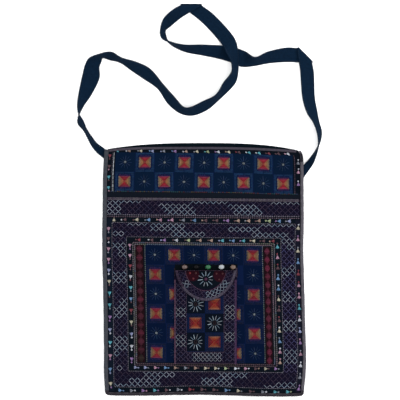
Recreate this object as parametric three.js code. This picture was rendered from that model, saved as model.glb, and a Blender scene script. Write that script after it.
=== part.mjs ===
// Embroidered crossbody bag with a small flapped pocket, lying on its back with its strap thrown above it.
// Millimetres. X runs to the right and Y to the mouth as seen from above, Z up. The origin is on the resting
// face of the back, at the middle of the bag.
import * as THREE from "three";

// Driving sizes.
const halfWidth = 145.5;
const crownFront = 177;
const crownBack = 183;
const bottomY = -182.9;
const bottomSlope = -0.006;
const bottomWave = 0.9;
const sagMiddle = 98;
const sagRun = 32.6;
const cornerRadius = 5;
const clearance = 0.3;
const backThick = 1.6;
const frontThick = 2;
const bindingThick = 1.2;
const bindingLip = 5;
const bindingRound = 1.6;
const panelInset = 2;
const seamWidth = 6.5;
const rimLift = 3.8;
const backRamp = 40;
const frontRamp = 60;
const frontRise = 6.4;
const mouthShare = 0.6;
const mouthRamp = 70;
const waveHeight = 0.4;
const waveRuns = { rise: { x: 33, y: 61 }, fade: { x: 90, y: 47 } };
const seamMiddle = 100.6;
const seamSlope = -0.01;
const braidWide = 4.2;
const braidThick = 1;
const mouthLip = 3.6;
const mouthThick = 1;
const pocketWall = 1.6;
const pocketRise = 5.8;
const pocketRamp = 16;
const flapWall = 1.6;
const flapGap = 0.7;
const flapRampY = 7;
const flapRound = 0.6;
const flapSideCut = 0.985;
const beadRadius = 4.25;
const strapWide = 21.5;
const strapThick = 1.9;
const strapFloor = 0.05;
const strapFoldGap = 0.6;
const seamZ = rimLift + backThick + clearance;

// How a wall's rows crowd to its low edge, and how many sections the strap has for each of its rows.
const panelCrowding = 1.6;
const pouchCrowding = 1.3;
const flapCrowding = 1.5;
const stepsPerRow = 3;

// Where the bag's outer edge runs on each side, from the bottom seam to the top corners.
const sides = [
  { y: -178, left: -142.6, right: 144.6 },
  { y: -155, left: -144, right: 146.9 },
  { y: -130, left: -144.1, right: 148 },
  { y: -97, left: -144.3, right: 147 },
  { y: -28, left: -145.3, right: 145.3 },
  { y: 30, left: -146.6, right: 143.8 },
  { y: 77, left: -146.2, right: 144.6 },
  { y: 104, left: -145.8, right: 144.2 },
  { y: 143, left: -145.2, right: 144.1 },
  { y: 160, left: -144, right: 143.6 },
  { y: 172, left: -143, right: 142 },
];

// How far the two mouth edges drop from their crown to the left and right corners.
const mouths = {
  front: { crown: crownFront, left: 4.8, right: 5.8, leftPower: 5, rightPower: 2.2 },
  back: { crown: crownBack, left: 9.3, right: 11, leftPower: 2.8, rightPower: 3 },
};

const pocket = { left: -43.1, right: 48.3, mouth: -11, bottom: -137.8 };
const flap = { middle: 3, half: 44.6, root: -1.5, depth: 44.2 };

// The five beads along the flap's root, left to right.
const beads = [
  { x: -27.6, color: 0xc08a6c },
  { x: -10.7, color: 0x17171d },
  { x: 6.5, color: 0x2f7a4a },
  { x: 25.7, color: 0xe8e4de },
  { x: 42.5, color: 0xb98f74 },
];
const beadY = 2.9;

// The strap from its left end to its right end. across: direction from its one edge to its other, in degrees.
// tilt: how far that other edge stands up, in degrees. wide: length of the section. lift: height over the
// floor.
const strapRows = [
  { x: -129.6, y: 156.1, across: 53, tilt: 0, wide: 12, lift: 0.3 },
  { x: -144.9, y: 167.8, across: 53, tilt: 0, wide: 11.8, lift: 0 },
  { x: -151.7, y: 173.2, across: 50, tilt: 0, wide: 11.6, lift: 0 },
  { x: -159.5, y: 181.2, across: 35, tilt: 62, wide: 18, lift: 0 },
  { x: -171.7, y: 201.4, across: 29, tilt: 77, wide: strapWide, lift: 0 },
  { x: -178.9, y: 213.6, across: 27, tilt: 65, wide: strapWide, lift: 0 },
  { x: -180.8, y: 224.3, across: 0, tilt: 90, wide: strapWide, lift: 0 },
  { x: -178.6, y: 237.3, across: 170, tilt: 65, wide: strapWide, lift: 0 },
  { x: -171.7, y: 255.4, across: 168, tilt: 29, wide: strapWide, lift: 0 },
  { x: -163.2, y: 281.5, across: 163, tilt: 0, wide: 25.2, lift: 0 },
  { x: -162, y: 294.1, across: 175, tilt: 6, wide: strapWide, lift: 0 },
  { x: -157.8, y: 302.8, across: 164, tilt: 29, wide: strapWide, lift: 0 },
  { x: -150.4, y: 308.4, across: 150, tilt: 66, wide: strapWide, lift: 0 },
  { x: -135.9, y: 309, across: 76, tilt: 57, wide: strapWide, lift: 0 },
  { x: -120.4, y: 302.8, across: 64, tilt: 71, wide: strapWide, lift: 0 },
  { x: -103.9, y: 295.2, across: 62, tilt: 51, wide: strapWide, lift: 0 },
  { x: -83.3, y: 283.6, across: 54, tilt: 35, wide: strapWide, lift: 0 },
  { x: -62.9, y: 264.8, across: 42, tilt: 61, wide: strapWide, lift: 0 },
  { x: -47.3, y: 244.7, across: 41, tilt: 51, wide: strapWide, lift: 0 },
  { x: -31, y: 230, across: 60, tilt: 61, wide: strapWide, lift: 0 },
  { x: -17.7, y: 228.7, across: 99, tilt: 54, wide: strapWide, lift: 0 },
  { x: 2.2, y: 237.1, across: 118, tilt: 50, wide: strapWide, lift: 0 },
  { x: 20.6, y: 249.7, across: 140, tilt: 66, wide: strapWide, lift: 0 },
  { x: 34.7, y: 266.8, across: 143, tilt: 49, wide: strapWide, lift: 0 },
  { x: 41.2, y: 275.4, across: 153, tilt: 51, wide: strapWide, lift: 0.8 },
  { x: 45.2, y: 286, across: 167, tilt: 62, wide: strapWide, lift: 2 },
  { x: 45, y: 300.1, across: 180, tilt: 61, wide: strapWide, lift: 2.6 },
  { x: 41, y: 315.7, across: 192, tilt: 34, wide: strapWide, lift: 2.6 },
  { x: 35.3, y: 330.5, across: 200, tilt: 0, wide: 21, lift: 1.6 },
  { x: 5.4, y: 364.1, across: 223, tilt: 0, wide: 20, lift: 0 },
  { x: -18.1, y: 385, across: 180, tilt: 0, wide: 30.4, lift: 0, fold: true },
  { x: -36.6, y: 371.7, across: 129, tilt: 41, wide: strapWide, lift: 2.6 },
  { x: -52.9, y: 357.8, across: 130, tilt: 45, wide: strapWide, lift: 0.6 },
  { x: -59.3, y: 344.4, across: 204, tilt: 67, wide: strapWide, lift: 0 },
  { x: -57.4, y: 335.5, across: 209, tilt: 72, wide: strapWide, lift: 0 },
  { x: -49.9, y: 328.7, across: 52, tilt: 86, wide: strapWide, lift: 0 },
  { x: -28.6, y: 320.3, across: 78, tilt: 65, wide: strapWide, lift: 0 },
  { x: -1, y: 317.5, across: 83, tilt: 45, wide: strapWide, lift: 0 },
  { x: 35.3, y: 312.5, across: 78, tilt: 0, wide: strapWide, lift: 0 },
  { x: 57.6, y: 304.8, across: 82, tilt: 0, wide: 23.4, lift: 0 },
  { x: 75, y: 300.9, across: 93, tilt: 56, wide: strapWide, lift: 0 },
  { x: 93.2, y: 306.5, across: 98, tilt: 40, wide: strapWide, lift: 0 },
  { x: 122.2, y: 310.8, across: 92, tilt: 0, wide: 21.2, lift: 0 },
  { x: 148.4, y: 311.5, across: 135, tilt: 0, wide: 30.3, lift: 0, fold: true },
  { x: 149.9, y: 285.6, across: 180, tilt: 8, wide: 20, lift: 2.6 },
  { x: 152.2, y: 247.9, across: 184, tilt: 31, wide: strapWide, lift: 0 },
  { x: 157, y: 228.2, across: 192, tilt: 44, wide: strapWide, lift: 0 },
  { x: 163, y: 213.2, across: 198, tilt: 65, wide: strapWide, lift: 0 },
  { x: 167.8, y: 197.2, across: 185, tilt: 71, wide: strapWide, lift: 0 },
  { x: 166.3, y: 179.1, across: 189, tilt: 88, wide: strapWide, lift: 0 },
  { x: 156.7, y: 157.8, across: -37, tilt: 61, wide: 16, lift: 0 },
  { x: 152.1, y: 151.1, across: -38, tilt: 0, wide: 10.4, lift: 0 },
  { x: 147.1, y: 144.6, across: -38, tilt: 0, wide: 10.8, lift: 0 },
  { x: 137.1, y: 131.7, across: -38, tilt: 0, wide: 12, lift: 0 },
];

const lerp = THREE.MathUtils.lerp;
const smooth = (t) => THREE.MathUtils.smoothstep(t, 0, 1);

// Plan of the bag.
const sideCurve = new THREE.CubicInterpolant(
  sides.map((row) => row.y),
  sides.flatMap((row) => [row.left, row.right]),
  2,
);
const sideAt = (y) => {
  const [left, right] = sideCurve.evaluate(THREE.MathUtils.clamp(y, sides[0].y, sides.at(-1).y));
  return { left, right };
};
const mouthAt = (mouth, x) => {
  const drop = x < 0 ? mouth.left : mouth.right;
  const power = x < 0 ? mouth.leftPower : mouth.rightPower;
  return mouth.crown - drop * Math.pow(Math.abs(x) / halfWidth, power);
};
const bottomAt = (x) => bottomY + bottomSlope * x - bottomWave * Math.cos((x - sagMiddle) / sagRun);
const seamAt = (x) => seamMiddle + seamSlope * x;

// How full the bag is at a point: 0 along the side and bottom seams, 1 in the middle.
const fullness = (x, y, ramp) => {
  const { left, right } = sideAt(y);
  const inward = [x - left, right - x, y - bottomAt(x)];
  return inward.reduce((full, d) => full * smooth((d - seamWidth) / ramp), 1);
};
const backZ = (x, y) => rimLift * (1 - fullness(x, y, backRamp));
const frontZ = (x, y) => {
  const full = fullness(x, y, frontRamp);
  const nearMouth = lerp(mouthShare, 1, smooth((mouthAt(mouths.front, x) - y) / mouthRamp));
  const { rise, fade } = waveRuns;
  const wave = waveHeight * Math.sin(x / rise.x + y / rise.y) * Math.cos(y / fade.y - x / fade.x);
  return seamZ + full * (frontRise * nearMouth + wave);
};
const frontTop = (x, y) => frontZ(x, y) + frontThick;

// A closed wall bent from a box: place takes u, v from 0 to 1 and side -1 or 1, and gives the point.
function wall(alongCount, acrossCount, place) {
  const box = new THREE.BoxGeometry(1, 1, 2, alongCount, acrossCount, 1);
  const position = box.getAttribute("position");
  const point = new THREE.Vector3();
  for (let i = 0; i < position.count; i++) {
    point.copy(place(position.getX(i) + 0.5, position.getY(i) + 0.5, position.getZ(i)));
    position.setXYZ(i, point.x, point.y, point.z);
  }
  return box;
}

// A panel of the bag between two heights, with its edges set in from the outline. A crowding over 1 brings its
// rows close together at the rounded bottom corners.
const lowEdge = (x) => bottomAt(x) + panelInset;
function panel(alongCount, acrossCount, lowAt, highAt, crowding, zAt, thick) {
  return wall(alongCount, acrossCount, (u, v, side) => {
    const guess = lerp(-halfWidth, halfWidth, u);
    const y = lerp(lowAt(guess), highAt(guess), Math.pow(v, crowding));
    const edge = sideAt(y);
    const round = Math.max(0, cornerRadius - (y - lowEdge(guess)));
    const cut = cornerRadius - Math.sqrt(cornerRadius * cornerRadius - round * round);
    const x = lerp(edge.left + panelInset + cut, edge.right - panelInset - cut, u);
    return new THREE.Vector3(x, y, zAt(x, y) + (side > 0 ? thick : 0));
  });
}

const backTopEdge = (x) => mouthAt(mouths.back, x);
const frontTopEdge = (x) => mouthAt(mouths.front, x) - mouthThick - clearance;
const seamBelow = (x) => seamAt(x) - clearance / 2;
const seamAbove = (x) => seamAt(x) + clearance / 2;
const backPanel = panel(16, 24, lowEdge, backTopEdge, panelCrowding, backZ, backThick);
const frontPanel = panel(18, 22, lowEdge, seamBelow, panelCrowding, frontZ, frontThick);
const frontBand = panel(18, 7, seamAbove, frontTopEdge, 1, frontZ, frontThick);

// The rim that the edge binding follows: down the left side, along the bottom and up the right side.
function rimPoints() {
  const points = [];
  const sideSteps = 15;
  const cornerSteps = 4;
  const bottomSteps = 12;
  const leftTop = mouthAt(mouths.back, -halfWidth);
  const rightTop = mouthAt(mouths.back, halfWidth);
  const leftFoot = bottomAt(-halfWidth) + cornerRadius;
  const rightFoot = bottomAt(halfWidth) + cornerRadius;
  for (let i = 0; i < sideSteps; i++) {
    const y = lerp(leftTop, leftFoot, i / sideSteps);
    points.push(new THREE.Vector2(sideAt(y).left, y));
  }
  const leftCentre = new THREE.Vector2(sideAt(leftFoot).left + cornerRadius, leftFoot);
  const rightCentre = new THREE.Vector2(sideAt(rightFoot).right - cornerRadius, rightFoot);
  for (let i = 0; i < cornerSteps; i++) {
    const turn = Math.PI * (1 + (0.5 * i) / cornerSteps);
    points.push(new THREE.Vector2(cornerRadius, 0).rotateAround(new THREE.Vector2(), turn).add(leftCentre));
  }
  for (let i = 0; i < bottomSteps; i++) {
    const x = lerp(leftCentre.x, rightCentre.x, i / bottomSteps);
    points.push(new THREE.Vector2(x, bottomAt(x)));
  }
  for (let i = 0; i < cornerSteps; i++) {
    const turn = Math.PI * (1.5 + (0.5 * i) / cornerSteps);
    points.push(new THREE.Vector2(cornerRadius, 0).rotateAround(new THREE.Vector2(), turn).add(rightCentre));
  }
  for (let i = 0; i <= sideSteps; i++) {
    const y = lerp(rightFoot, rightTop, i / sideSteps);
    points.push(new THREE.Vector2(sideAt(y).right, y));
  }
  return points;
}

// A binding's section: from its lower lip's end, round the edge, to its upper lip's end.
function uSection(lowZ, highZ, lip, thick, round) {
  const stations = [];
  const outer = -thick / 2;
  const arcSteps = 3;
  stations.push({ out: -lip, z: lowZ, turn: -90 });
  for (let i = 0; i <= arcSteps; i++) {
    const turn = lerp(-90, 0, i / arcSteps);
    const a = THREE.MathUtils.degToRad(turn);
    stations.push({ out: outer - round + round * Math.cos(a), z: lowZ + round + round * Math.sin(a), turn });
  }
  for (let i = 0; i <= arcSteps; i++) {
    const turn = lerp(0, 90, i / arcSteps);
    const a = THREE.MathUtils.degToRad(turn);
    stations.push({ out: outer - round + round * Math.cos(a), z: highZ - round + round * Math.sin(a), turn });
  }
  stations.push({ out: -lip, z: highZ, turn: 90 });
  return stations;
}

function edgeBindingGeometry() {
  const rim = rimPoints();
  const lowZ = rimLift - clearance - bindingThick / 2;
  const highZ = seamZ + frontThick + clearance + bindingThick / 2;
  const section = uSection(lowZ, highZ, bindingLip, bindingThick, bindingRound);
  return wall(rim.length - 1, section.length - 1, (u, v, side) => {
    const i = Math.round(u * (rim.length - 1));
    const station = section[Math.round(v * (section.length - 1))];
    const before = rim[Math.max(0, i - 1)];
    const after = rim[Math.min(rim.length - 1, i + 1)];
    const along = after.clone().sub(before).normalize();
    const outward = new THREE.Vector2(along.y, -along.x);
    const a = THREE.MathUtils.degToRad(station.turn);
    const out = station.out + (side * bindingThick * Math.cos(a)) / 2;
    const z = station.z + (side * bindingThick * Math.sin(a)) / 2;
    return new THREE.Vector3(rim[i].x + outward.x * out, rim[i].y + outward.y * out, z);
  });
}

// The mouth binding lies on the front's top edge and turns down over it.
function mouthBindingGeometry() {
  const arcSteps = 3;
  const section = [{ out: -mouthThick / 2, below: frontThick, turn: 0 }];
  for (let i = 0; i <= arcSteps; i++) {
    const turn = lerp(0, 90, i / arcSteps);
    const a = THREE.MathUtils.degToRad(turn);
    const round = clearance + mouthThick / 2;
    section.push({ out: -mouthThick / 2 - round + round * Math.cos(a), below: -round * Math.sin(a), turn });
  }
  section.push({ out: -mouthLip, below: -clearance - mouthThick / 2, turn: 90 });
  const start = sideAt(mouths.back.crown).left + bindingLip + clearance;
  const end = sideAt(mouths.back.crown).right - bindingLip - clearance;
  return wall(22, section.length - 1, (u, v, side) => {
    const x = lerp(end, start, u);
    const station = section[Math.round(v * (section.length - 1))];
    const a = THREE.MathUtils.degToRad(station.turn);
    const edge = mouthAt(mouths.front, x);
    const y = edge + station.out + (side * mouthThick * Math.cos(a)) / 2;
    const z = frontTop(x, edge - mouthThick) - station.below + (side * mouthThick * Math.sin(a)) / 2;
    return new THREE.Vector3(x, y, z);
  });
}

const crossBraid = wall(22, 1, (u, v, side) => {
  const edge = sideAt(seamMiddle);
  const x = lerp(edge.left + bindingLip + clearance, edge.right - bindingLip - clearance, u);
  const y = seamAt(x) + (v - 0.5) * braidWide;
  return new THREE.Vector3(x, y, frontTop(x, y) + clearance + (side > 0 ? braidThick : 0));
});

// The pocket stands off the front between its three sewn edges.
const pocketBulge = (x, y) => {
  const inward = [x - pocket.left, pocket.right - x, y - pocket.bottom];
  return inward.reduce((full, d) => full * smooth(d / pocketRamp), pocketRise);
};
const pocketPouch = wall(16, 14, (u, v, side) => {
  const x = lerp(pocket.left, pocket.right, u);
  const y = lerp(pocket.bottom, pocket.mouth, Math.pow(v, pouchCrowding));
  const z = frontTop(x, y) + clearance + pocketBulge(x, y);
  return new THREE.Vector3(x, y, z + (side > 0 ? pocketWall : 0));
});

// The flap is sewn to the front along its root and lies over the pocket.
const pocketFlap = wall(18, 10, (u, v, side) => {
  const s = (2 * u - 1) * flapSideCut;
  const x = flap.middle + s * flap.half;
  const reach = flap.depth * Math.pow(1 - s * s, flapRound);
  const y = flap.root - reach * Math.pow(1 - v, flapCrowding);
  const over = smooth((flap.root - y) / flapRampY);
  const bulge = pocketBulge(x, Math.min(y, pocket.mouth));
  const z = frontTop(x, y) + clearance + over * (pocketWall + flapGap + bulge);
  return new THREE.Vector3(x, y, z + (side > 0 ? flapWall : 0));
});

// The strap's two edges, section by section, with each mitre fold turned over in three sections.
function strapEdges() {
  const near = [];
  const far = [];
  const add = (row, inset, up) => {
    const across = THREE.MathUtils.degToRad(row.across);
    const tilt = THREE.MathUtils.degToRad(row.tilt);
    const half = new THREE.Vector3(Math.cos(across), Math.sin(across), 0);
    const inward = new THREE.Vector3(-half.y, half.x, 0);
    half.multiplyScalar(Math.cos(tilt)).setZ(Math.sin(tilt)).multiplyScalar(row.wide / 2);
    const low = (row.wide * Math.sin(tilt) + strapThick * Math.cos(tilt)) / 2;
    const centre = new THREE.Vector3(row.x, row.y, strapFloor + row.lift + low + up);
    centre.addScaledVector(inward, inset);
    near.push(centre.clone().sub(half));
    far.push(centre.clone().add(half));
  };
  const turn = (strapThick + strapFoldGap) / 2;
  for (const row of strapRows) {
    if (row.fold) {
      add(row, turn + strapThick / 2, 0);
      add(row, strapThick / 2, turn);
      add(row, turn + strapThick / 2, 2 * turn);
    } else {
      add(row, 0, 0);
    }
  }
  return { near, far };
}

function strapGeometry() {
  const { near, far } = strapEdges();
  const nearCurve = new THREE.CatmullRomCurve3(near, false, "centripetal");
  const farCurve = new THREE.CatmullRomCurve3(far, false, "centripetal");
  const count = (near.length - 1) * stepsPerRow;
  const sections = [];
  for (let i = 0; i <= count; i++) {
    const a = nearCurve.getPoint(i / count);
    const b = farCurve.getPoint(i / count);
    sections.push({ middle: a.clone().lerp(b, 0.5), half: b.clone().sub(a).multiplyScalar(0.5) });
  }
  sections.forEach((section, i) => {
    const before = sections[Math.max(0, i - 1)].middle;
    const after = sections[Math.min(count, i + 1)].middle;
    section.normal = after.clone().sub(before).cross(section.half).normalize();
    const low = section.middle.z - Math.abs(section.half.z) - (Math.abs(section.normal.z) * strapThick) / 2;
    section.raise = Math.max(0, strapFloor - low);
  });
  return wall(count, 2, (u, v, side) => {
    const section = sections[Math.round(u * count)];
    const point = section.middle.clone().addScaledVector(section.half, 2 * v - 1);
    point.addScaledVector(section.normal, (side * strapThick) / 2);
    point.z += section.raise;
    return point;
  });
}

const finish = (color, roughness) => new THREE.MeshStandardMaterial({ color, roughness, metalness: 0 });
const groundCloth = finish(0x10131f, 0.95);
const backCloth = finish(0x14151c, 0.95);
const bindingCloth = finish(0x5f5566, 0.9);
const strapCloth = finish(0x0d2542, 0.85);

const bag = new THREE.Group();
const addPiece = (name, geometry, material) => {
  const mesh = new THREE.Mesh(geometry, material);
  mesh.name = name;
  bag.add(mesh);
};
addPiece("back_panel", backPanel, backCloth);
addPiece("front_panel", frontPanel, groundCloth);
addPiece("front_band", frontBand, groundCloth);
addPiece("edge_binding", edgeBindingGeometry(), bindingCloth);
addPiece("mouth_binding", mouthBindingGeometry(), bindingCloth);
addPiece("cross_braid", crossBraid, bindingCloth);
addPiece("pocket_pouch", pocketPouch, groundCloth);
addPiece("pocket_flap", pocketFlap, groundCloth);
beads.forEach((bead, i) => {
  const ball = new THREE.SphereGeometry(beadRadius, 14, 10);
  ball.translate(bead.x, beadY, frontTop(bead.x, beadY) + clearance + beadRadius);
  addPiece(`pocket_bead_${i + 1}`, ball, finish(bead.color, 0.35));
});
addPiece("strap", strapGeometry(), strapCloth);

export default bag;
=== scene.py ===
from collections import namedtuple

import bmesh
import bpy
import numpy as np
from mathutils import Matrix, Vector


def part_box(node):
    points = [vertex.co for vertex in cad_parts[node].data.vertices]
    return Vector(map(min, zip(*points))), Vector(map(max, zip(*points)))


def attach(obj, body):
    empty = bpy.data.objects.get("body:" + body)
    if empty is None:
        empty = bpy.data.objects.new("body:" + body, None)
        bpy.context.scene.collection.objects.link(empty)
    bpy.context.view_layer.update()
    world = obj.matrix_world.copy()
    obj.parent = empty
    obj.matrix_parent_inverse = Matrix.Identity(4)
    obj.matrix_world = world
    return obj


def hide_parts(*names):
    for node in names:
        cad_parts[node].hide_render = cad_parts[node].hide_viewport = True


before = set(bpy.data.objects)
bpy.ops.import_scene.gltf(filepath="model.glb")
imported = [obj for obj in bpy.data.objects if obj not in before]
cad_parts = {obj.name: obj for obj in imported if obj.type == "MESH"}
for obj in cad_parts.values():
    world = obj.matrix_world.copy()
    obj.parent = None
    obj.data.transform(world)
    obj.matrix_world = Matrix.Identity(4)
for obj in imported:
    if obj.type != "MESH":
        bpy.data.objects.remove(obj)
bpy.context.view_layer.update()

# Table, light and camera. The bag lies on a plain white table in soft light from all round, and is seen
# from straight above. The picture is 400 pixels wide and covers 580 mm of the table.
MM = 0.001
scene = bpy.context.scene
scene.view_settings.view_transform = "Standard"
picture_wide = 580 * MM
table_drop = 0.3 * MM
picture_middle = Vector((-5.4 * MM, 100 * MM, 10 * MM))
camera_data = bpy.data.cameras.new("camera")
camera_data.lens = 500
camera_data.sensor_width = 36
camera = bpy.data.objects.new("camera", camera_data)
camera_height = picture_wide * camera_data.lens / camera_data.sensor_width
camera.location = picture_middle + Vector((0, 0, camera_height))
scene.collection.objects.link(camera)
scene.camera = camera

world = bpy.data.worlds.new("soft_room")
scene.world = world
world.use_nodes = True
world.node_tree.nodes["Background"].inputs["Color"].default_value = (1, 1, 1, 1)
world.node_tree.nodes["Background"].inputs["Strength"].default_value = 1.75


def soft_light(name, place, size, watts):
    lamp = bpy.data.lights.new(name, "AREA")
    lamp.size = size
    lamp.energy = watts
    light = bpy.data.objects.new(name, lamp)
    light.location = place
    light.rotation_euler = (picture_middle - Vector(place)).to_track_quat("-Z", "Y").to_euler()
    scene.collection.objects.link(light)


soft_light("left_light", (-1.5, 0.7, 1.5), size=1.0, watts=8)
soft_light("right_light", (1.5, 0.4, 1.5), size=1.2, watts=28)


def new_material(name, rough, specular):
    material = bpy.data.materials.new(name)
    material.use_nodes = True
    shader = material.node_tree.nodes["Principled BSDF"]
    shader.inputs["Roughness"].default_value = rough
    shader.inputs["Specular IOR Level"].default_value = specular
    return material, material.node_tree, shader


def mesh_object(name, bm):
    mesh = bpy.data.meshes.new(name)
    bm.to_mesh(mesh)
    bm.free()
    mesh.shade_smooth()
    piece = bpy.data.objects.new(name, mesh)
    scene.collection.objects.link(piece)
    return piece


table_bm = bmesh.new()
bmesh.ops.create_grid(table_bm, x_segments=1, y_segments=1, size=4)
bmesh.ops.translate(table_bm, verts=table_bm.verts, vec=(0, 0, -table_drop))
table = mesh_object("table", table_bm)
table_white, _, table_shader = new_material("table_white", rough=0.9, specular=0.1)
table_shader.inputs["Base Color"].default_value = (0.96, 0.96, 0.96, 1)
table.data.materials.append(table_white)

# Back panel. One piece of plain dark cotton, cut a little longer than the front, so that its top edge shows
# as a dark strip above the mouth. It lies flat on the table and lifts to the sewn edges.
half_width = 145.5
bottom_line = -182.9
bottom_slope = -0.006
bottom_wave = 0.9
sag_middle, sag_run = 98, 32.6
corner_round = 5
panel_inset = 2
seam_wide = 6.5
rim_lift = 3.8
back_ramp = 40
back_thick = 1.6
clearance = 0.3
# Where the outer edge runs: height on the bag, left edge, right edge.
side_rows = np.array([
    (-178, -142.6, 144.6),
    (-155, -144, 146.9),
    (-130, -144.1, 148),
    (-97, -144.3, 147),
    (-28, -145.3, 145.3),
    (30, -146.6, 143.8),
    (77, -146.2, 144.6),
    (104, -145.8, 144.2),
    (143, -145.2, 144.1),
    (160, -144, 143.6),
    (166.5, -143.5, 142.9),
    (172, -143, 139.7),
])


def smooth(t):
    t = np.clip(t, 0, 1)
    return t * t * (3 - 2 * t)


def unit(rows):
    return rows / np.linalg.norm(rows, axis=1)[:, None]


def side_edge(y, column):
    """The left (column 1) or right (column 2) outer edge at a height, on a curve through the rows."""
    rows_y, edge = side_rows[:, 0], side_rows[:, column]
    slope = np.gradient(edge, rows_y)
    y = np.clip(y, rows_y[0], rows_y[-1])
    i = np.clip(np.searchsorted(rows_y, y) - 1, 0, len(rows_y) - 2)
    gap = rows_y[i + 1] - rows_y[i]
    t = (y - rows_y[i]) / gap
    bend = t * (1 - t) * gap * ((1 - t) * slope[i] - t * slope[i + 1])
    lean = t * (1 - t) * (2 * t - 1) * (edge[i + 1] - edge[i])
    return edge[i] + (edge[i + 1] - edge[i]) * t + bend + lean


def mouth_line(x, crown, drops, powers):
    side = (x > 0).astype(int)
    return crown - np.array(drops)[side] * (np.abs(x) / half_width) ** np.array(powers)[side]


def back_mouth(x):
    return mouth_line(x, crown=183, drops=(9.3, 11), powers=(2.8, 3))


def sag(x):
    """How the bottom hangs in shallow waves: 1 where it hangs lowest, -1 where it is drawn up."""
    return np.cos((x - sag_middle) / sag_run)


def bottom_edge(x):
    return bottom_line + bottom_slope * x - bottom_wave * sag(x)


def fullness(x, y, ramp):
    """0 along the side and bottom seams, 1 in the middle of the bag."""
    left = smooth((x - side_edge(y, 1) - seam_wide) / ramp)
    right = smooth((side_edge(y, 2) - x - seam_wide) / ramp)
    return left * right * smooth((y - bottom_edge(x) - seam_wide) / ramp)


def panel_place(low_line, high_line, height):
    """Where a panel's point u, v lies, set in from the outline, with rounded low corners."""

    def place(u, v):
        guess = (2 * u - 1) * half_width
        y = low_line(guess) + (high_line(guess) - low_line(guess)) * v
        into_corner = np.clip(corner_round - (y - bottom_edge(guess) - panel_inset), 0, corner_round)
        cut = corner_round - np.sqrt(corner_round**2 - into_corner**2)
        left = side_edge(y, 1) + panel_inset + cut
        right = side_edge(y, 2) - panel_inset - cut
        x = left + (right - left) * u
        return np.stack([x, y, height(x, y)], 1)

    return place


def cloth(name, along, across, place, thick, side, pattern=None):
    """A sheet of cloth bent from a flat grid. side -1 puts its thickness below the placed surface, 1 above.
    pattern gives the place on the straight pattern of a point on the bag, for a map of its own."""
    bm = bmesh.new()
    bmesh.ops.create_grid(bm, x_segments=along, y_segments=across, size=0.5)
    flat = np.array([v.co for v in bm.verts]) + 0.5
    points = place(flat[:, 0], flat[:, 1])
    column = np.rint(flat[:, 0] * along).astype(int)
    row = np.rint(flat[:, 1] * across).astype(int)
    grid = np.zeros((across + 1, along + 1, 3))
    grid[row, column] = points
    along_run, across_run = (
        np.insert(np.linalg.norm(np.diff(grid, axis=axis), axis=2).mean(1 - axis).cumsum(), 0, 0)
        for axis in (1, 0)
    )
    maps = {"cloth_run": np.stack([along_run[column], across_run[row]], 1)}
    if pattern:
        maps["pattern"] = np.stack(pattern(points[:, 0], points[:, 1]), 1)
    bm.verts.ensure_lookup_table()
    for vert, point in zip(bm.verts, points):
        vert.co = point * MM
    for map_name, spots in maps.items():
        layer = bm.loops.layers.uv.new(map_name)
        for face in bm.faces:
            for loop in face.loops:
                loop[layer].uv = spots[loop.vert.index] * MM
    piece = mesh_object(name, bm)
    wall = piece.modifiers.new("thickness", "SOLIDIFY")
    wall.thickness = thick * MM
    wall.offset = side
    wall.use_even_offset = True
    edge = piece.modifiers.new("soft_edge", "SUBSURF")
    edge.levels = 1
    edge.render_levels = 1
    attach(piece, "root")
    return piece


def feed(tree, value, socket):
    """Gives a socket a plain value or another node's output."""
    if isinstance(value, bpy.types.NodeSocket):
        tree.links.new(value, socket)
    elif socket.type == "RGBA":
        socket.default_value = (*value, 1)
    else:
        socket.default_value = value


def add_node(tree, kind, feeds, **settings):
    """Adds a node, feeds its inputs and gives its outputs."""
    node = tree.nodes.new(kind)
    for key, value in settings.items():
        setattr(node, key, value)
    for name, value in feeds.items():
        feed(tree, value, node.inputs[name])
    return node.outputs


def math_node(tree, operation, *values, **settings):
    return add_node(tree, "ShaderNodeMath", dict(enumerate(values)), operation=operation, **settings)[0]


def shader_group(name, inputs, outputs):
    """A shader node group with named inputs and outputs, and the outputs of its input node."""
    group = bpy.data.node_groups.new(name, "ShaderNodeTree")
    for in_out, sockets in (("INPUT", inputs), ("OUTPUT", outputs)):
        for socket, kind in sockets.items():
            group.interface.new_socket(socket, in_out=in_out, socket_type="NodeSocket" + kind)
    return group, add_node(group, "NodeGroupInput", {})


# The weave that every cloth here shares: threads over and under each other, in thick and thin yarn.
plain_weave, weave_in = shader_group(
    "plain_weave", {"Run": "Vector", "Threads": "Float"}, {"Height": "Float", "Slub": "Float"})
weave_scale = {0: weave_in["Run"], "Scale": weave_in["Threads"]}
weave_turns = add_node(plain_weave, "ShaderNodeVectorMath", weave_scale, operation="SCALE")[0]
weave_axes = add_node(plain_weave, "ShaderNodeSeparateXYZ", {0: weave_turns})
warp, weft = (math_node(plain_weave, "SINE", weave_axes[axis]) for axis in "XY")
crossing = math_node(plain_weave, "MULTIPLY", warp, weft)
raised = math_node(plain_weave, "MULTIPLY_ADD", crossing, 0.5, 0.5)
yarn_noise = {"Vector": weave_in["Run"], "Scale": 260, "Detail": 3}
slub = add_node(plain_weave, "ShaderNodeTexNoise", yarn_noise)[0]
add_node(plain_weave, "NodeGroupOutput", {"Height": raised, "Slub": slub})
yarn_thin, yarn_thick = 0.55, 1.45
room_light = 2.45


def dye(red, green, blue):
    """A thread or cloth colour, from how it looks in this room's light to how much light it gives back."""
    return tuple(((c / 255 + 0.055) / 1.055) ** 2.4 / room_light for c in (red, green, blue))


def mix_colours(tree, share, below, above):
    """Lays one colour over another by a share. Each is a plain colour or another node's output."""
    layers = {"Factor": share, "A": below, "B": above}
    return add_node(tree, "ShaderNodeMix", layers, data_type="RGBA")["Result"]


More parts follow.
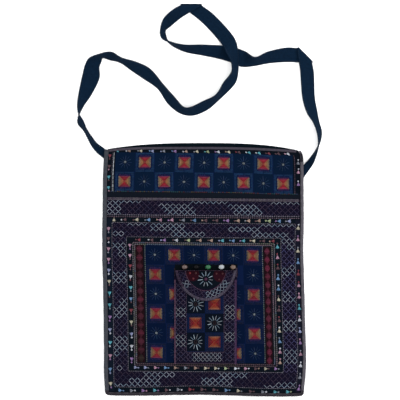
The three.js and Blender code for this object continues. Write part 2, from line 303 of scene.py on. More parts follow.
def place_on(tree, uv_map=None):
    """A point's place on one of the cloth's own maps, or else on the whole bag."""
    if uv_map:
        return add_node(tree, "ShaderNodeUVMap", {}, uv_map=uv_map)["UV"]
    return add_node(tree, "ShaderNodeTexCoord", {})["Object"]


def woven_material(name, colour, thread_step, run_map=None, depth=0.25):
    """Woven cloth: its colour changes a little from yarn to yarn, and its threads stand up."""
    material, tree, shader = new_material(name, rough=0.92, specular=0.02)
    yarn = {"Run": place_on(tree, run_map), "Threads": np.pi / (thread_step * MM)}
    weave = add_node(tree, "ShaderNodeGroup", yarn, node_tree=plain_weave)
    thin, thick = (tuple(c * share for c in colour) for share in (yarn_thin, yarn_thick))
    base = mix_colours(tree, weave["Slub"], thin, thick)
    relief = {"Strength": 0.5, "Distance": depth * MM, "Height": weave["Height"]}
    feed(tree, add_node(tree, "ShaderNodeBump", relief)["Normal"], shader.inputs["Normal"])
    feed(tree, base, shader.inputs["Base Color"])
    return material, tree, shader, base


def back_height(x, y):
    return rim_lift * (1 - fullness(x, y, back_ramp))


def low_line(x):
    return bottom_edge(x) + panel_inset


back_place = panel_place(low_line, back_mouth, back_height)
back_panel = cloth("back_cloth_panel", 56, 70, back_place, back_thick, side=1)
back_material = woven_material("back_cotton", dye(12, 25, 34), thread_step=0.7)[0]
back_panel.data.materials.append(back_material)
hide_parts("back_panel")

# Front panel and front band. Near-black navy cotton in two lengths that meet under the cross braid. The
# ground is dyed purple under the diamond lattice, blue under the squares and dark red under the lozenges.
front_thick = 2
front_ramp = 60
front_rise = 6.4
mouth_share = 0.6
mouth_ramp = 70
wave_height = 0.4
rise_x, rise_y, fade_x, fade_y = 33, 61, 90, 47
seam_middle = 100.6
front_tilt = 0.01
band_droop, droop_start, droop_run = 1.6, 30, 90
pattern_wave = 1.4
sag_start, sag_fade = -145, 26
mouth_thick = 1
seam_height = rim_lift + back_thick + clearance
ground_black = dye(10, 18, 28)
lattice_purple = dye(19, 15, 35)
star_navy = dye(6, 26, 51)
field_navy = dye(3, 20, 49)
square_blue = dye(10, 27, 64)
lozenge_ground = dye(32, 14, 20)
# A rectangle of the straight pattern: its four edges and, on a field, one cell's width and height.
Zone = namedtuple("Zone", "left right low high wide tall", defaults=(0, 0))
band_field = Zone(-129.2, 130.8, 112, 168, 28.89, 28)
panel_field = Zone(-84.1, 86.6, -136, 34.1, 28.45, 28.35)
# The rectangles that the borders run round, from the outside in.
outer_rim = Zone(-132, 134, -171.1, 66.3)
inner_rim = Zone(-111, 113.4, -149.1, 45.6)
top_lattice = Zone(-140, 140, 77.6, 98.4)
lozenge_columns = (Zone(-97.8, -86.6, -136.2, 34.1), Zone(88.4, 98, -138, 32.4))


def front_mouth(x):
    return mouth_line(x, crown=177, drops=(4.8, 5.8), powers=(5, 2.2))


def panel_drop(x):
    """How far the cloth is pulled down on the right and up on the left, out of square."""
    return front_tilt * x


def band_drop(x):
    return panel_drop(x) + band_droop * smooth((x - droop_start) / droop_run)


def pattern_sag(x, y):
    """How far the lowest rows hang down with the bottom edge."""
    return pattern_wave * sag(x) * smooth((sag_start - y) / sag_fade)


def on_bag(drop):
    """Where a point of the straight pattern lies on the bag, as its sides, drop and sag move it."""

    def lie(x, y):
        share = (x + half_width) / (2 * half_width)
        edges = (side_edge(y, 1) + half_width) * (1 - share) + (side_edge(y, 2) - half_width) * share
        return x + edges, y - drop(x) - pattern_sag(x, y)

    return lie


def on_pattern(drop):
    """Where a point of the bag lies on the straight pattern."""

    def unlie(x, y):
        left, right = side_edge(y, 1), side_edge(y, 2)
        straight = (2 * (x - left) / (right - left) - 1) * half_width
        return straight, y + drop(straight) + pattern_sag(straight, y)

    return unlie


on_panel, on_band = on_bag(panel_drop), on_bag(band_drop)


def front_top(x, y):
    full = fullness(x, y, front_ramp)
    near_mouth = mouth_share + (1 - mouth_share) * smooth((front_mouth(x) - y) / mouth_ramp)
    wave = wave_height * np.sin(x / rise_x + y / rise_y) * np.cos(y / fade_y - x / fade_x)
    return seam_height + front_thick + full * (front_rise * near_mouth + wave)


# A dyed rectangle of the ground, as a mask.
zone_edges = ("Left", "Right", "Low", "High")
dyed_zone, zone_in = shader_group(
    "dyed_zone", {"Place": "Vector", **dict.fromkeys(zone_edges, "Float")}, {"Mask": "Float"})
zone_axes = add_node(dyed_zone, "ShaderNodeSeparateXYZ", {0: zone_in["Place"]})
past_left, before_right, past_low, before_high = (
    math_node(dyed_zone, test, zone_axes[axis], zone_in[edge])
    for axis, test, edge in zip("XXYY", ("GREATER_THAN", "LESS_THAN") * 2, zone_edges)
)
zone_across = math_node(dyed_zone, "MULTIPLY", past_left, before_right)
zone_up = math_node(dyed_zone, "MULTIPLY", past_low, before_high)
add_node(dyed_zone, "NodeGroupOutput", {"Mask": math_node(dyed_zone, "MULTIPLY", zone_across, zone_up)})


def dye_zone(tree, base, place, zone, colour, checkered=False):
    """Lays a dyed rectangle over the ground. Checkered, only the squares' cells of a field take it."""
    edges = {edge: where * MM for edge, where in zip(zone_edges, zone)}
    share = add_node(tree, "ShaderNodeGroup", {"Place": place, **edges}, node_tree=dyed_zone)["Mask"]
    if checkered:
        corner = (-zone.left / zone.wide, zone.high / zone.tall, 0.5)
        steps = (1 / (zone.wide * MM), -1 / (zone.tall * MM), 0)
        cell = add_node(tree, "ShaderNodeMapping", {"Vector": place, "Location": corner, "Scale": steps})[0]
        board = add_node(tree, "ShaderNodeTexChecker", {"Vector": cell, "Scale": 1})["Fac"]
        share = math_node(tree, "MULTIPLY", board, share)
    return mix_colours(tree, share, base, colour)


def dyed_cotton(name, ground, zones, pattern_map=None, thread_step=0.7, run_map=None):
    """Woven cloth with dyed rectangles: each has a colour, and True where it is checkered."""
    material, tree, shader, base = woven_material(name, ground, thread_step, run_map)
    place = place_on(tree, pattern_map)
    for zone, colour, *checkered in zones:
        base = dye_zone(tree, base, place, zone, colour, *checkered)
    feed(tree, base, shader.inputs["Base Color"])
    return material


def seam_line(x):
    return seam_middle - panel_drop(x)


def front_cut(x):
    return front_mouth(x) - mouth_thick - clearance


panel_lie = panel_place(low_line, seam_line, front_top)
band_lie = panel_place(seam_line, front_cut, front_top)
front_panel = cloth("front_cloth_panel", 70, 70, panel_lie, front_thick, -1, on_pattern(panel_drop))
front_band = cloth("front_cloth_band", 70, 20, band_lie, front_thick, -1, on_pattern(band_drop))
side_strips = (Zone(-150, -132, -178, 72), Zone(134, 150, -178, 72))
bead_strip = Zone(-41, 50, -10, 7.2)
panel_zones = [
    (side_strips[0], dye(15, 24, 38)),
    (side_strips[1], dye(22, 24, 38)),
    (top_lattice, lattice_purple),
    (outer_rim, lattice_purple),
    (inner_rim, ground_black),
    (lozenge_columns[0], lozenge_ground),
    (lozenge_columns[1], lozenge_ground),
    (panel_field, field_navy),
    (panel_field, square_blue, True),
    (bead_strip, dye(8, 15, 20)),
]
front_panel.data.materials.append(dyed_cotton("panel_cotton", ground_black, panel_zones, "pattern"))
low_strip = Zone(-150, 150, 80, 112)
band_zones = [(low_strip, dye(18, 24, 34)), (band_field, star_navy), (band_field, square_blue, True)]
front_band.data.materials.append(dyed_cotton("band_cotton", ground_black, band_zones, "pattern"))
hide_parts("front_panel")
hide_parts("front_band")

# Embroidery of the front band. Two rows of nine cells, stars and squares by turns, in silky thread over the
# cotton, with a row of small fan-and-knot flowers above and beside them. Every stitch dips into the cloth.
satin_start, satin_step, satin_wide = 0.4, 0.78, 0.8
cross_wide, cross_lift = 0.8, 0.2
edge_gap = 0.2
fill_step = 1.15
fringe_gap, fringe_wide = 0.3, 1.0
fringe_least, fringe_most = 1.4, 3.0
ground_wide, ground_lift = 0.95, -0.05
spoke_least, spoke_most = 0.86, 1.06
thread_random = np.random.default_rng(7)
ring_lifts = np.array([-0.3, 0.1, 0.26, 0.1, -0.3])
ring_sizes = np.array([0.82, 1.0, 0.82])
thread_sides = 5
thread_flatness = 0.8
thread_shades = (0.7, 1.3)
least_dip, most_dip = 0.04, 0.3
bake_margin = 0.12


def thread_faces():
    """The corners of one stitch's faces, and each corner's place along and round the stitch."""

    def spot(ring, k):
        return 1 + ring * thread_sides + k % thread_sides

    faces, map_places = [], []
    for k in range(thread_sides):
        faces.append((0, spot(0, k + 1), spot(0, k)))
        map_places.append(((0, k + 0.5), (1, k + 1), (1, k)))
    for ring in range(2):
        for k in range(thread_sides):
            faces.append((spot(ring, k), spot(ring, k + 1), spot(ring + 1, k + 1), spot(ring + 1, k)))
            map_places.append(((ring + 1, k), (ring + 1, k + 1), (ring + 2, k + 1), (ring + 2, k)))
    end = 1 + 3 * thread_sides
    for k in range(thread_sides):
        faces.append((spot(2, k), spot(2, k + 1), end))
        map_places.append(((3, k), (3, k + 1), (4, k + 0.5)))
    return faces, map_places


def ring_shares(wide, length):
    """How far along each stitch its five points lie: its ends dip within about half its own width."""
    dip = np.clip(0.5 * wide / length, least_dip, most_dip)
    return np.stack([0 * dip, dip, 0 * dip + 0.5, 1 - dip, 0 * dip + 1], 1)


def thread_mesh(name, path, up, wide, colour):
    """Joins many stitches in one mesh. path holds five points for each stitch. Upward direction, width and
    colour are one for all of them or one for each."""
    count = len(path)
    wide = np.broadcast_to(wide, count)
    along = path[:, 4] - path[:, 0]
    length = np.linalg.norm(along, axis=1)
    along = along / length[:, None]
    across = unit(np.cross(up, along))
    above = np.cross(along, across)
    angles = 2 * np.pi * (np.arange(thread_sides) + 0.25) / thread_sides
    half = wide[:, None, None, None] * ring_sizes[None, :, None, None] / 2
    rings = path[:, 1:4, None] + half * (
        np.cos(angles)[None, None, :, None] * across[:, None, None]
        + thread_flatness * np.sin(angles)[None, None, :, None] * above[:, None, None]
    )
    points = np.concatenate([path[:, :1], rings.reshape(count, -1, 3), path[:, 4:]], 1)
    per_stitch = points.shape[1]
    faces, map_places = thread_faces()
    corners = np.concatenate([np.array(face) for face in faces])
    sizes = np.array([len(face) for face in faces])
    loops = (corners[None] + per_stitch * np.arange(count)[:, None]).ravel()
    starts = np.concatenate([[0], np.tile(sizes, count).cumsum()[:-1]])
    mesh = bpy.data.meshes.new(name)
    mesh.vertices.add(count * per_stitch)
    mesh.vertices.foreach_set("co", (points * MM).ravel())
    mesh.loops.add(len(loops))
    mesh.loops.foreach_set("vertex_index", loops.astype(np.int32))
    mesh.polygons.add(len(starts))
    mesh.polygons.foreach_set("loop_start", starts.astype(np.int32))
    tint = mesh.attributes.new("thread_colour", "FLOAT_COLOR", "POINT")
    shade = thread_random.uniform(*thread_shades, count)
    shaded = np.concatenate([np.array(colour) * shade[:, None], np.ones((count, 1))], 1)
    tint.data.foreach_set("color", np.repeat(shaded, per_stitch, axis=0).astype(np.float32).ravel())
    place = np.concatenate([np.array(p, float) for p in map_places])
    run = np.zeros((count, len(corners), 2))
    run[:, :, 0] = ring_shares(wide, length)[:, place[:, 0].astype(int)] * length[:, None] * MM
    run[:, :, 1] = place[:, 1][None] / thread_sides
    mesh.uv_layers.new(name="thread_run").data.foreach_set("uv", run.astype(np.float32).ravel())
    columns = int(np.ceil(np.sqrt(count / 2)))
    rows = int(np.ceil(count / columns))
    cell = np.stack([np.arange(count) % columns, np.arange(count) // columns], 1)
    within = bake_margin + (1 - 2 * bake_margin) * place / (4, thread_sides)
    baked = (cell[:, None] + within[None]) / np.array([columns, rows])
    mesh.uv_layers.new(name="OFBake").data.foreach_set("uv", baked.astype(np.float32).ravel())
    mesh.update(calc_edges=True)
    mesh.validate()
    mesh.shade_smooth()
    mesh.materials.append(embroidery_thread)
    piece = bpy.data.objects.new(name, mesh)
    scene.collection.objects.link(piece)
    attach(piece, "root")
    return piece


# Two-ply thread: its colour comes from the stitch, and its plies twist round it with painted shade between
# them.
plies, ply_turn = 2, 1.3
embroidery_thread, thread_tree, thread_shader = new_material(
    "embroidery_thread", rough=0.55, specular=0.08)
thread_colour = add_node(thread_tree, "ShaderNodeAttribute", {}, attribute_name="thread_colour")["Color"]
twist_scale = (2 * np.pi / (ply_turn * MM), 2 * np.pi * plies, 0)
twist_map = {"Vector": place_on(thread_tree, "thread_run"), "Scale": twist_scale}
twist_run = add_node(thread_tree, "ShaderNodeMapping", twist_map)[0]
twist_axes = add_node(thread_tree, "ShaderNodeSeparateXYZ", {0: twist_run})
twist_wave = math_node(thread_tree, "SINE", math_node(thread_tree, "ADD", twist_axes["X"], twist_axes["Y"]))
# Painted shade and light: the twist wave darkens the colour in the grooves between the plies and lightens
# it a little on their crests.
twist_range = {"Value": twist_wave, "From Min": -1, "To Min": 0.78, "To Max": 1.08}
twist_shade = add_node(thread_tree, "ShaderNodeMapRange", twist_range)["Result"]
ply_light = {0: thread_colour, "Scale": twist_shade}
ply_colour = add_node(thread_tree, "ShaderNodeVectorMath", ply_light, operation="SCALE")[0]
feed(thread_tree, ply_colour, thread_shader.inputs["Base Color"])
twist_relief = {"Strength": 0.4, "Distance": 0.12 * MM, "Height": twist_wave}
ply_normal = add_node(thread_tree, "ShaderNodeBump", twist_relief)["Normal"]
feed(thread_tree, ply_normal, thread_shader.inputs["Normal"])


def sew(name, stitches, surface, lie=None):
    """Sews stitches on a surface. Each is x, y, x, y, width, lift over the cloth and a colour.
    lie gives the place on the bag of a point of the straight pattern."""
    rows = np.array(stitches, float)
    if lie:
        rows[:, 0], rows[:, 1] = lie(rows[:, 0], rows[:, 1])
        rows[:, 2], rows[:, 3] = lie(rows[:, 2], rows[:, 3])
    start, end, wide, lift, colour = rows[:, 0:2], rows[:, 2:4], rows[:, 4], rows[:, 5], rows[:, 6:9]
    shares = ring_shares(wide, np.linalg.norm(end - start, axis=1))
    plan = start[:, None] + (end - start)[:, None] * shares[:, :, None]
    height = surface(plan[:, :, 0].ravel(), plan[:, :, 1].ravel()).reshape(len(rows), -1)
    height = height + ring_lifts[None] * wide[:, None] + lift[:, None]
    path = np.concatenate([plan, height[:, :, None]], 2)
    return thread_mesh(name, path, (0, 0, 1), wide, colour)


def moved(stitches, x, y, turn=0.0, size=1.0):
    """A motif's stitches turned by degrees, scaled and set down at a place."""
    rows = np.array(stitches, float)
    c = size * np.cos(np.radians(turn))
    s = size * np.sin(np.radians(turn))
    spin = np.array([[c, s], [-s, c]])
    rows[:, 0:2] = rows[:, 0:2] @ spin + (x, y)
    rows[:, 2:4] = rows[:, 2:4] @ spin + (x, y)
    return list(map(tuple, rows))


def back_stitch(x0, y0, x1, y1, step, wide, colours, lift=0.0):
    """A straight line of stitches end to end, with the colours taken at random."""
    count = max(1, round(np.hypot(x1 - x0, y1 - y0) / step))
    t = np.arange(count + 1) / count
    x, y = x0 + (x1 - x0) * t, y0 + (y1 - y0) * t
    picks = thread_random.integers(len(colours), size=count)
    return [(x[i], y[i], x[i + 1], y[i + 1], wide, lift, *colours[picks[i]]) for i in range(count)]


def knot(x, y, size, colour):
    """A small raised knot: three short fat stitches across each other."""
    rows = []
    for a in np.radians((20, 80, 140)):
        c, s = size / 2 * np.cos(a), size / 2 * np.sin(a)
        rows.append((x - c, y - s, x + c, y + s, size * 0.5, 0.12 * size, *colour))
    return rows


def square_motif(cell, wide, tall, caps, sides, cross, edge, halo, ground):
    """A satin square in four triangles with a cross over it, and the ground sewn round it. caps and sides
    hold the colours of the upper and lower and of the left and right triangles, from the middle outward."""
    half_w, half_t, half_cell = wide / 2, tall / 2, cell / 2
    rows = []
    for t in np.arange(satin_start, half_t, satin_step):
        reach = t * half_w / half_t
        colour = caps[int(len(caps) * t / half_t)]
        rows += [(-reach, t * s, reach, t * s, satin_wide, 0, *colour) for s in (1, -1)]
    for t in np.arange(satin_start, half_w, satin_step):
        reach = t * half_t / half_w
        colour = sides[int(len(sides) * t / half_w)]
        rows += [(t * s, -reach, t * s, reach, satin_wide, 0, *colour) for s in (1, -1)]
    for s, t in ((1, 1), (1, -1), (-1, 1), (-1, -1)):
        rows.append((0, 0, s * half_w, t * half_t, cross_wide, cross_lift, *cross))
    for s in (1, -1):
        edge_x = s * (half_w + edge_gap)
        rows += back_stitch(edge_x, -half_t, edge_x, half_t, step=4.4, wide=1.0, colours=[edge], lift=0.1)
        for x in np.arange(-half_w + 0.6, half_w, fill_step):
            fade = thread_random.uniform(fringe_least, fringe_most)
            root = half_t + fringe_gap
            rows.append((x, s * root, x, s * (root + fade), fringe_wide, 0, *halo))
    for y in np.arange(-half_cell + 0.7, half_cell - 0.3, fill_step):
        start = 0
        if abs(y) < half_t + 0.5:
            start = half_w + 2
        elif abs(y) < half_t + 3:
            start = half_w + 0.8
        end = half_cell - 0.5
        rows += [(s * start, y, s * end, y, ground_wide, ground_lift, *ground) for s in (1, -1)]
    return rows


def star_motif(inner, outer, spokes, wide, colours, first_turn=0.0):
    """Straight stitches that stand round a middle point."""
    rows = []
    for i in range(spokes):
        a = np.radians(first_turn) + 2 * np.pi * i / spokes
        reach = outer * thread_random.uniform(spoke_least, spoke_most)
        c, s = np.cos(a), np.sin(a)
        rows.append((inner * c, inner * s, reach * c, reach * s, wide, 0, *colours[i % len(colours)]))
    return rows


# The flowers' threads by letter: white, ivory, green-white, peach, pink, mauve, lilac, rose, dull rose,
# grey, cyan and blue. A flower is charted by the letters of its fan and its knot.
flower_dyes = {
    "w": dye(206, 210, 222), "i": dye(194, 188, 168), "y": dye(165, 180, 142), "o": dye(172, 146, 134),
    "p": dye(184, 142, 166), "m": dye(148, 116, 168), "l": dye(150, 158, 196), "r": dye(130, 62, 74),
    "d": dye(96, 72, 80), "g": dye(132, 137, 150), "c": dye(94, 172, 188), "b": dye(108, 144, 186),
}


def flower(x, y, turn, letters, size=1.0):
    """A fan of five stitches that spreads forward from a stem, with a knot behind it."""
    fan, dot = (flower_dyes[letter] for letter in letters)
    rows = [(-1.8, 0, 3.4 - 0.12 * abs(s), s * 0.62, 1.15, 0.05, *fan) for s in (-4, -2, 0, 2, 4)]
    rows.append((-5.2, 0, -1.6, 0, 0.8, 0, *fan))
    rows += knot(-4.4, 0, 3.3, dot)
    return moved(rows, x, y, turn, size)


def flower_line(x0, y0, x1, y1, chart, size=1.0, bow=0.0):
    """Flowers from the first one's place to the last one's, each facing along the row. bow moves those in
    the middle on."""
    turn = np.degrees(np.arctan2(y1 - y0, x1 - x0))
    words = chart.split()
    share = np.linspace(0, 1, len(words))
    rows = []
    for t, letters in zip(share + bow * share * (1 - share), words):
        place = (x0 + (x1 - x0) * t, y0 + (y1 - y0) * t)
        rows += flower(*place, turn + thread_random.uniform(-6, 6), letters, size)
    return rows


band_blue, panel_blue = dye(18, 54, 92), dye(3, 22, 59)
red_caps = [dye(142, 32, 42), dye(144, 29, 39), dye(140, 36, 52), dye(122, 46, 74)]
gold_sides = [dye(142, 56, 50), dye(150, 80, 60), dye(148, 92, 64), dye(138, 98, 66), dye(128, 102, 74),
              dye(116, 99, 84)]
square_cross, square_edge, violet_fringe = dye(136, 74, 60), dye(108, 97, 84), dye(50, 32, 78)
star_dyes = [dye(20, 44, 82), dye(26, 52, 80), dye(16, 40, 76), dye(42, 58, 92)]
pale_knot = dye(116, 124, 130)


def front_square(ground, strength):
    """The square of the large fields, with its silks in one strength."""
    caps, sides, (cross, edge) = (
        [tuple(strength * c for c in colour) for colour in colours]
        for colours in (red_caps, gold_sides, (square_cross, square_edge))
    )
    sizes = {"cell": 28.4, "wide": 16.2, "tall": 15.8}
    silks = {"caps": caps, "sides": sides, "cross": cross, "edge": edge}
    return square_motif(**sizes, **silks, halo=violet_fringe, ground=ground)


def cells(field, columns, rows):
    """The cells of a field from its top left one on: row, column and middle."""
    for row in range(rows):
        for column in range(columns):
            x = field.left + (column + 0.5) * field.wide
            y = field.high - (row + 0.5) * field.tall
            yield row, column, x, y


def checkered_field(field, columns, rows, square, bare=()):
    """Stars and squares by turns, starting with a star at the top left, but for the bare cells."""
    stitches = []
    for row, column, x, y in cells(field, columns, rows):
        if (row, column) in bare:
            continue
        if (row + column) % 2:
            stitches += moved(square, x, y, thread_random.uniform(-1.5, 1.5))
        else:
            star = star_motif(inner=2.2, outer=10.4, spokes=12, wide=0.85, colours=star_dyes)
            stitches += moved(star, x, y, thread_random.uniform(-9, 9))
            stitches += knot(x, y, size=4.6, colour=pale_knot)
    return stitches


band_stitches = checkered_field(band_field, 9, 2, front_square(band_blue, 1.25))
band_cells = sew("band_squares_and_stars", band_stitches, front_top, on_band)
pale_line = [dye(200, 206, 212)]
grey_line = [dye(84, 84, 96), dye(74, 72, 84)]
rose_line = [dye(98, 76, 90), dye(80, 62, 80)]
mixed_line = [dye(50, 64, 98), dye(98, 84, 60), dye(44, 82, 88), dye(92, 44, 50)]
# Each row of flowers: its first and last flower's place, its chart, and the flowers' size and bow.
band_flowers = (
    (-127.6, 170.4, 125.5, 169.8, "cd ow ig lb gl mb ow ig yc wm io dr cw cw rd dd wp", 0.86, 0.12),
    (-137.8, 116, -137.8, 162.2, "cp cd dp rd", 0.92),
    (138.6, 157, 138.6, 126, "gw pw mw", 0.92, -0.3),
)
# Each line: its ends, the stitches' length and width, and its threads.
band_lines = (
    (-131.6, 111, -131.6, 168, 6, 1.0, pale_line),
    (-133.5, 111, -133.5, 168, 3, 0.9, grey_line),
    (133.4, 111, 133.4, 168, 3, 1.0, rose_line),
    (-138, 111.4, 138, 111.4, 3, 1.1, mixed_line),
)
band_rows = []
for row in band_flowers:
    band_rows += flower_line(*row)
for row in band_lines:
    band_rows += back_stitch(*row)
band_borders = sew("band_flowers_and_lines", band_rows, front_top, on_band)

# Lattice of the front panel. Diamonds of crossed straight stitches, one band below the cross braid and a
# frame round the panel, in dim purple thread with patches of white thread that step along it.
dim_lattice = [dye(66, 56, 82), dye(60, 52, 78), dye(54, 54, 84), dye(72, 58, 80)]
left_lattice = [dye(74, 66, 94), dye(68, 62, 88), dye(62, 64, 94), dye(80, 68, 90)]
low_lattice = [dye(58, 49, 72), dye(53, 46, 69), dye(48, 48, 74), dye(63, 51, 70)]
blue_lattice = [dye(82, 76, 116), dye(74, 76, 122), dye(86, 80, 114)]
bright_lattice = [dye(145, 157, 174), dye(127, 147, 168), dye(151, 157, 172)]
diamond_wide = 8.4


def strip(start, along, across):
    """A straight strip: where a point lies that is so far along it and so deep in it."""
    return lambda run, deep: np.array(start) + np.array(along) * run + np.array(across) * deep


def lattice(place, length, depth, rows, patches, diamond=diamond_wide, dim=dim_lattice,
            bright=bright_lattice, wide=(0.76, 0.8), over=0.04):
    """Crossed stitches in a strip. A patch is first row, last row, start, end and step for each row. wide
    holds the dim and the bright stitches' widths, and over lifts one way's stitches over the other's."""
    columns = round(length / (diamond / 2))
    step, rise = length / columns, depth / rows
    stitches = []
    for j in range(rows):
        for i in range(j % 2, columns + 1, 2):
            for turn in (1, -1):
                if not 0 <= i + turn <= columns:
                    continue
                middle = (i + turn / 2) * step
                lit = any(a <= j <= b and lo + lean * (j - a) <= middle <= hi + lean * (j - a)
                          for a, b, lo, hi, lean in patches)
                dyes = bright if lit else dim
                colour = dyes[thread_random.integers(len(dyes))]
                ends = (*place(i * step, j * rise), *place((i + turn) * step, (j + 1) * rise))
                stitches.append((*ends, wide[lit], over * turn + 0.04, *colour))
    return stitches


right, left, down = (1, 0), (-1, 0), (0, -1)
band_patches = [(0, 0, 0, 51, 0), (0, 0, 121, 175, 0), (0, 0, 237, 284, 0), (1, 4, 0, 22, 0),
                (1, 4, 76, 121, 3.4), (1, 4, 175, 217, 3.4)]
top_patches = [(0, 0, 23, 51, 0), (0, 0, 212, 267, 0), (0, 2, 54, 107, 0), (3, 4, 85, 136, 0),
               (1, 2, 168, 212, 0), (3, 4, 201, 254, 0), (3, 4, 0, 16, 0)]
bottom_patches = [(0, 1, 43, 90, 0), (2, 4, 20, 67, 0), (0, 1, 153, 194, 0), (2, 4, 124, 174, 0),
                  (3, 4, 236, 268, 0), (4, 4, 0, 20, 0), (4, 4, 217, 268, 0)]
left_patches = [(0, 4, 10, 19, 0), (2, 4, 19, 28, 0), (0, 4, 52, 69, 0), (4, 4, 46, 52, 0),
                (0, 1, 102, 120, 0), (2, 2, 94, 120, 0), (3, 4, 91, 115, 0), (0, 1, 144, 172, 0),
                (2, 4, 144, 163, 0), (1, 2, 188, 197, 0)]
right_patches = [(0, 2, 2, 18, 0), (3, 4, 0, 9, 0), (0, 4, 38, 51, 1.6), (2, 4, 75, 93, 0),
                 (0, 1, 84, 93, 0), (0, 4, 119, 137, 0), (0, 4, 161, 181, 0)]
# The frame keeps clear of the lines along both of its rims.
rim_gap, rim_gaps = 0.6, 1.2
frame_wide = outer_rim.right - outer_rim.left - 1.6
frame_tall = inner_rim.high - inner_rim.low
frame_left = outer_rim.left + 0.8
panel_rows = lattice(strip((top_lattice.left, top_lattice.high), right, down),
                     top_lattice.right - top_lattice.left, depth=20.4, rows=5, patches=band_patches)
panel_rows += lattice(strip((frame_left, outer_rim.high - rim_gap), right, down), frame_wide,
                      outer_rim.high - inner_rim.high - rim_gaps, rows=5, patches=top_patches)
panel_rows += lattice(strip((frame_left, inner_rim.low - rim_gap), right, down), frame_wide,
                      inner_rim.low - outer_rim.low - rim_gaps, rows=5, patches=bottom_patches,
                      dim=low_lattice)
panel_rows += lattice(strip((outer_rim.left + rim_gap, inner_rim.high), down, right), frame_tall,
                      inner_rim.left - outer_rim.left - rim_gaps, rows=5, patches=left_patches,
                      dim=left_lattice)
panel_rows += lattice(strip((outer_rim.right - rim_gap, inner_rim.high), down, left), frame_tall,
                      outer_rim.right - inner_rim.right - rim_gaps, rows=5, patches=right_patches,
                      dim=blue_lattice)
panel_lattice = sew("panel_lattice", panel_rows, front_top, on_panel)

# Field and borders of the front panel. Six rows of stars and squares, a column of red lozenges on each
# side, and two borders of fan-and-knot flowers that run clockwise between lines of chain stitch.
link_long, link_wide, link_lift = 2.9, 0.8, 0.05
new_thread_share = 0.3
lozenge_count, lozenge_step, lozenge_wide = 14, 0.9, 0.95
behind_flap = ((1, 1), (1, 2), (1, 3), (1, 4))
panel_stitches = checkered_field(panel_field, 6, 6, front_square(panel_blue, 1), behind_flap)
panel_cells = sew("panel_squares_and_stars", panel_stitches, front_top, on_panel)
chain_dyes = [dye(115, 113, 120), dye(104, 106, 97), dye(120, 102, 114), dye(90, 101, 121),
              dye(111, 107, 112)]
low_chain_dyes = [dye(86, 70, 82), dye(78, 66, 68), dye(92, 72, 82)]
thin_dyes = [dye(116, 114, 126), dye(98, 96, 110), dye(106, 100, 112)]
pale_lilac_line = [dye(128, 122, 138), dye(114, 108, 124)]
dusty_rose_line = [dye(116, 98, 112), dye(98, 82, 98)]
field_edge_dyes = [dye(114, 114, 114), dye(92, 108, 100), dye(104, 110, 120)]
left_lozenges = [dye(82, 26, 46), dye(74, 28, 45), dye(64, 22, 37)]
right_lozenges = [dye(97, 30, 55), dye(90, 32, 54), dye(84, 27, 48)]


def chain(x0, y0, x1, y1, spread, colours):
    """Chain stitch: links of two stitches that part and meet again."""
    length = np.hypot(x1 - x0, y1 - y0)
    along = np.array((x1 - x0, y1 - y0)) / length
    side = np.array((-along[1], along[0])) * spread
    count = round(length / link_long)
    colour = colours[0]
    stitches = []
    for i in range(count):
        if thread_random.uniform() < new_thread_share:
            colour = colours[thread_random.integers(len(colours))]
        p = np.array((x0, y0)) + along * length * i / count
        q = np.array((x0, y0)) + along * length * (i + 1) / count
        for s in (0.5, -0.5):
            stitches.append((*(p + side * s * 0.5), *(q + side * s), link_wide, link_lift, *colour))
    return stitches


def lozenge_column(zone, count, dyes, lowest):
    """Satin lozenges one over another, in horizontal stitches, with a colour of its own for the lowest."""
    pitch = (zone.high - zone.low) / count
    middle, half = (zone.left + zone.right) / 2, (zone.right - zone.left) / 2 - 0.6
    stitches = []
    for i in range(count):
        y = zone.high - (i + 0.5) * pitch
        colour = dyes[thread_random.integers(len(dyes))] if i < count - 1 else lowest
        for t in np.arange(-pitch / 2 + 0.8, pitch / 2 - 0.4, lozenge_step):
            inward = 1 - abs(t) / (pitch / 2)
            reach = half * inward**0.6
            # Painted light and shade: each stitch is lit toward the lozenge's middle and shaded toward its
            # tips.
            shade = [c * (0.6 + 0.7 * inward) for c in colour]
            stitches.append((middle - reach, y + t, middle + reach, y + t, lozenge_wide, 0, *shade))
    return stitches


def round_frame(line, left, right, low, high, *settings, dyes, low_dyes):
    """A line of stitches along all four sides of a rectangle, clockwise from its top left corner."""
    stitches = line(left, high, right, high, *settings, dyes)
    stitches += line(right, high, right, low, *settings, dyes)
    stitches += line(right, low, left, low, *settings, low_dyes)
    stitches += line(left, low, left, high, *settings, dyes)
    return stitches


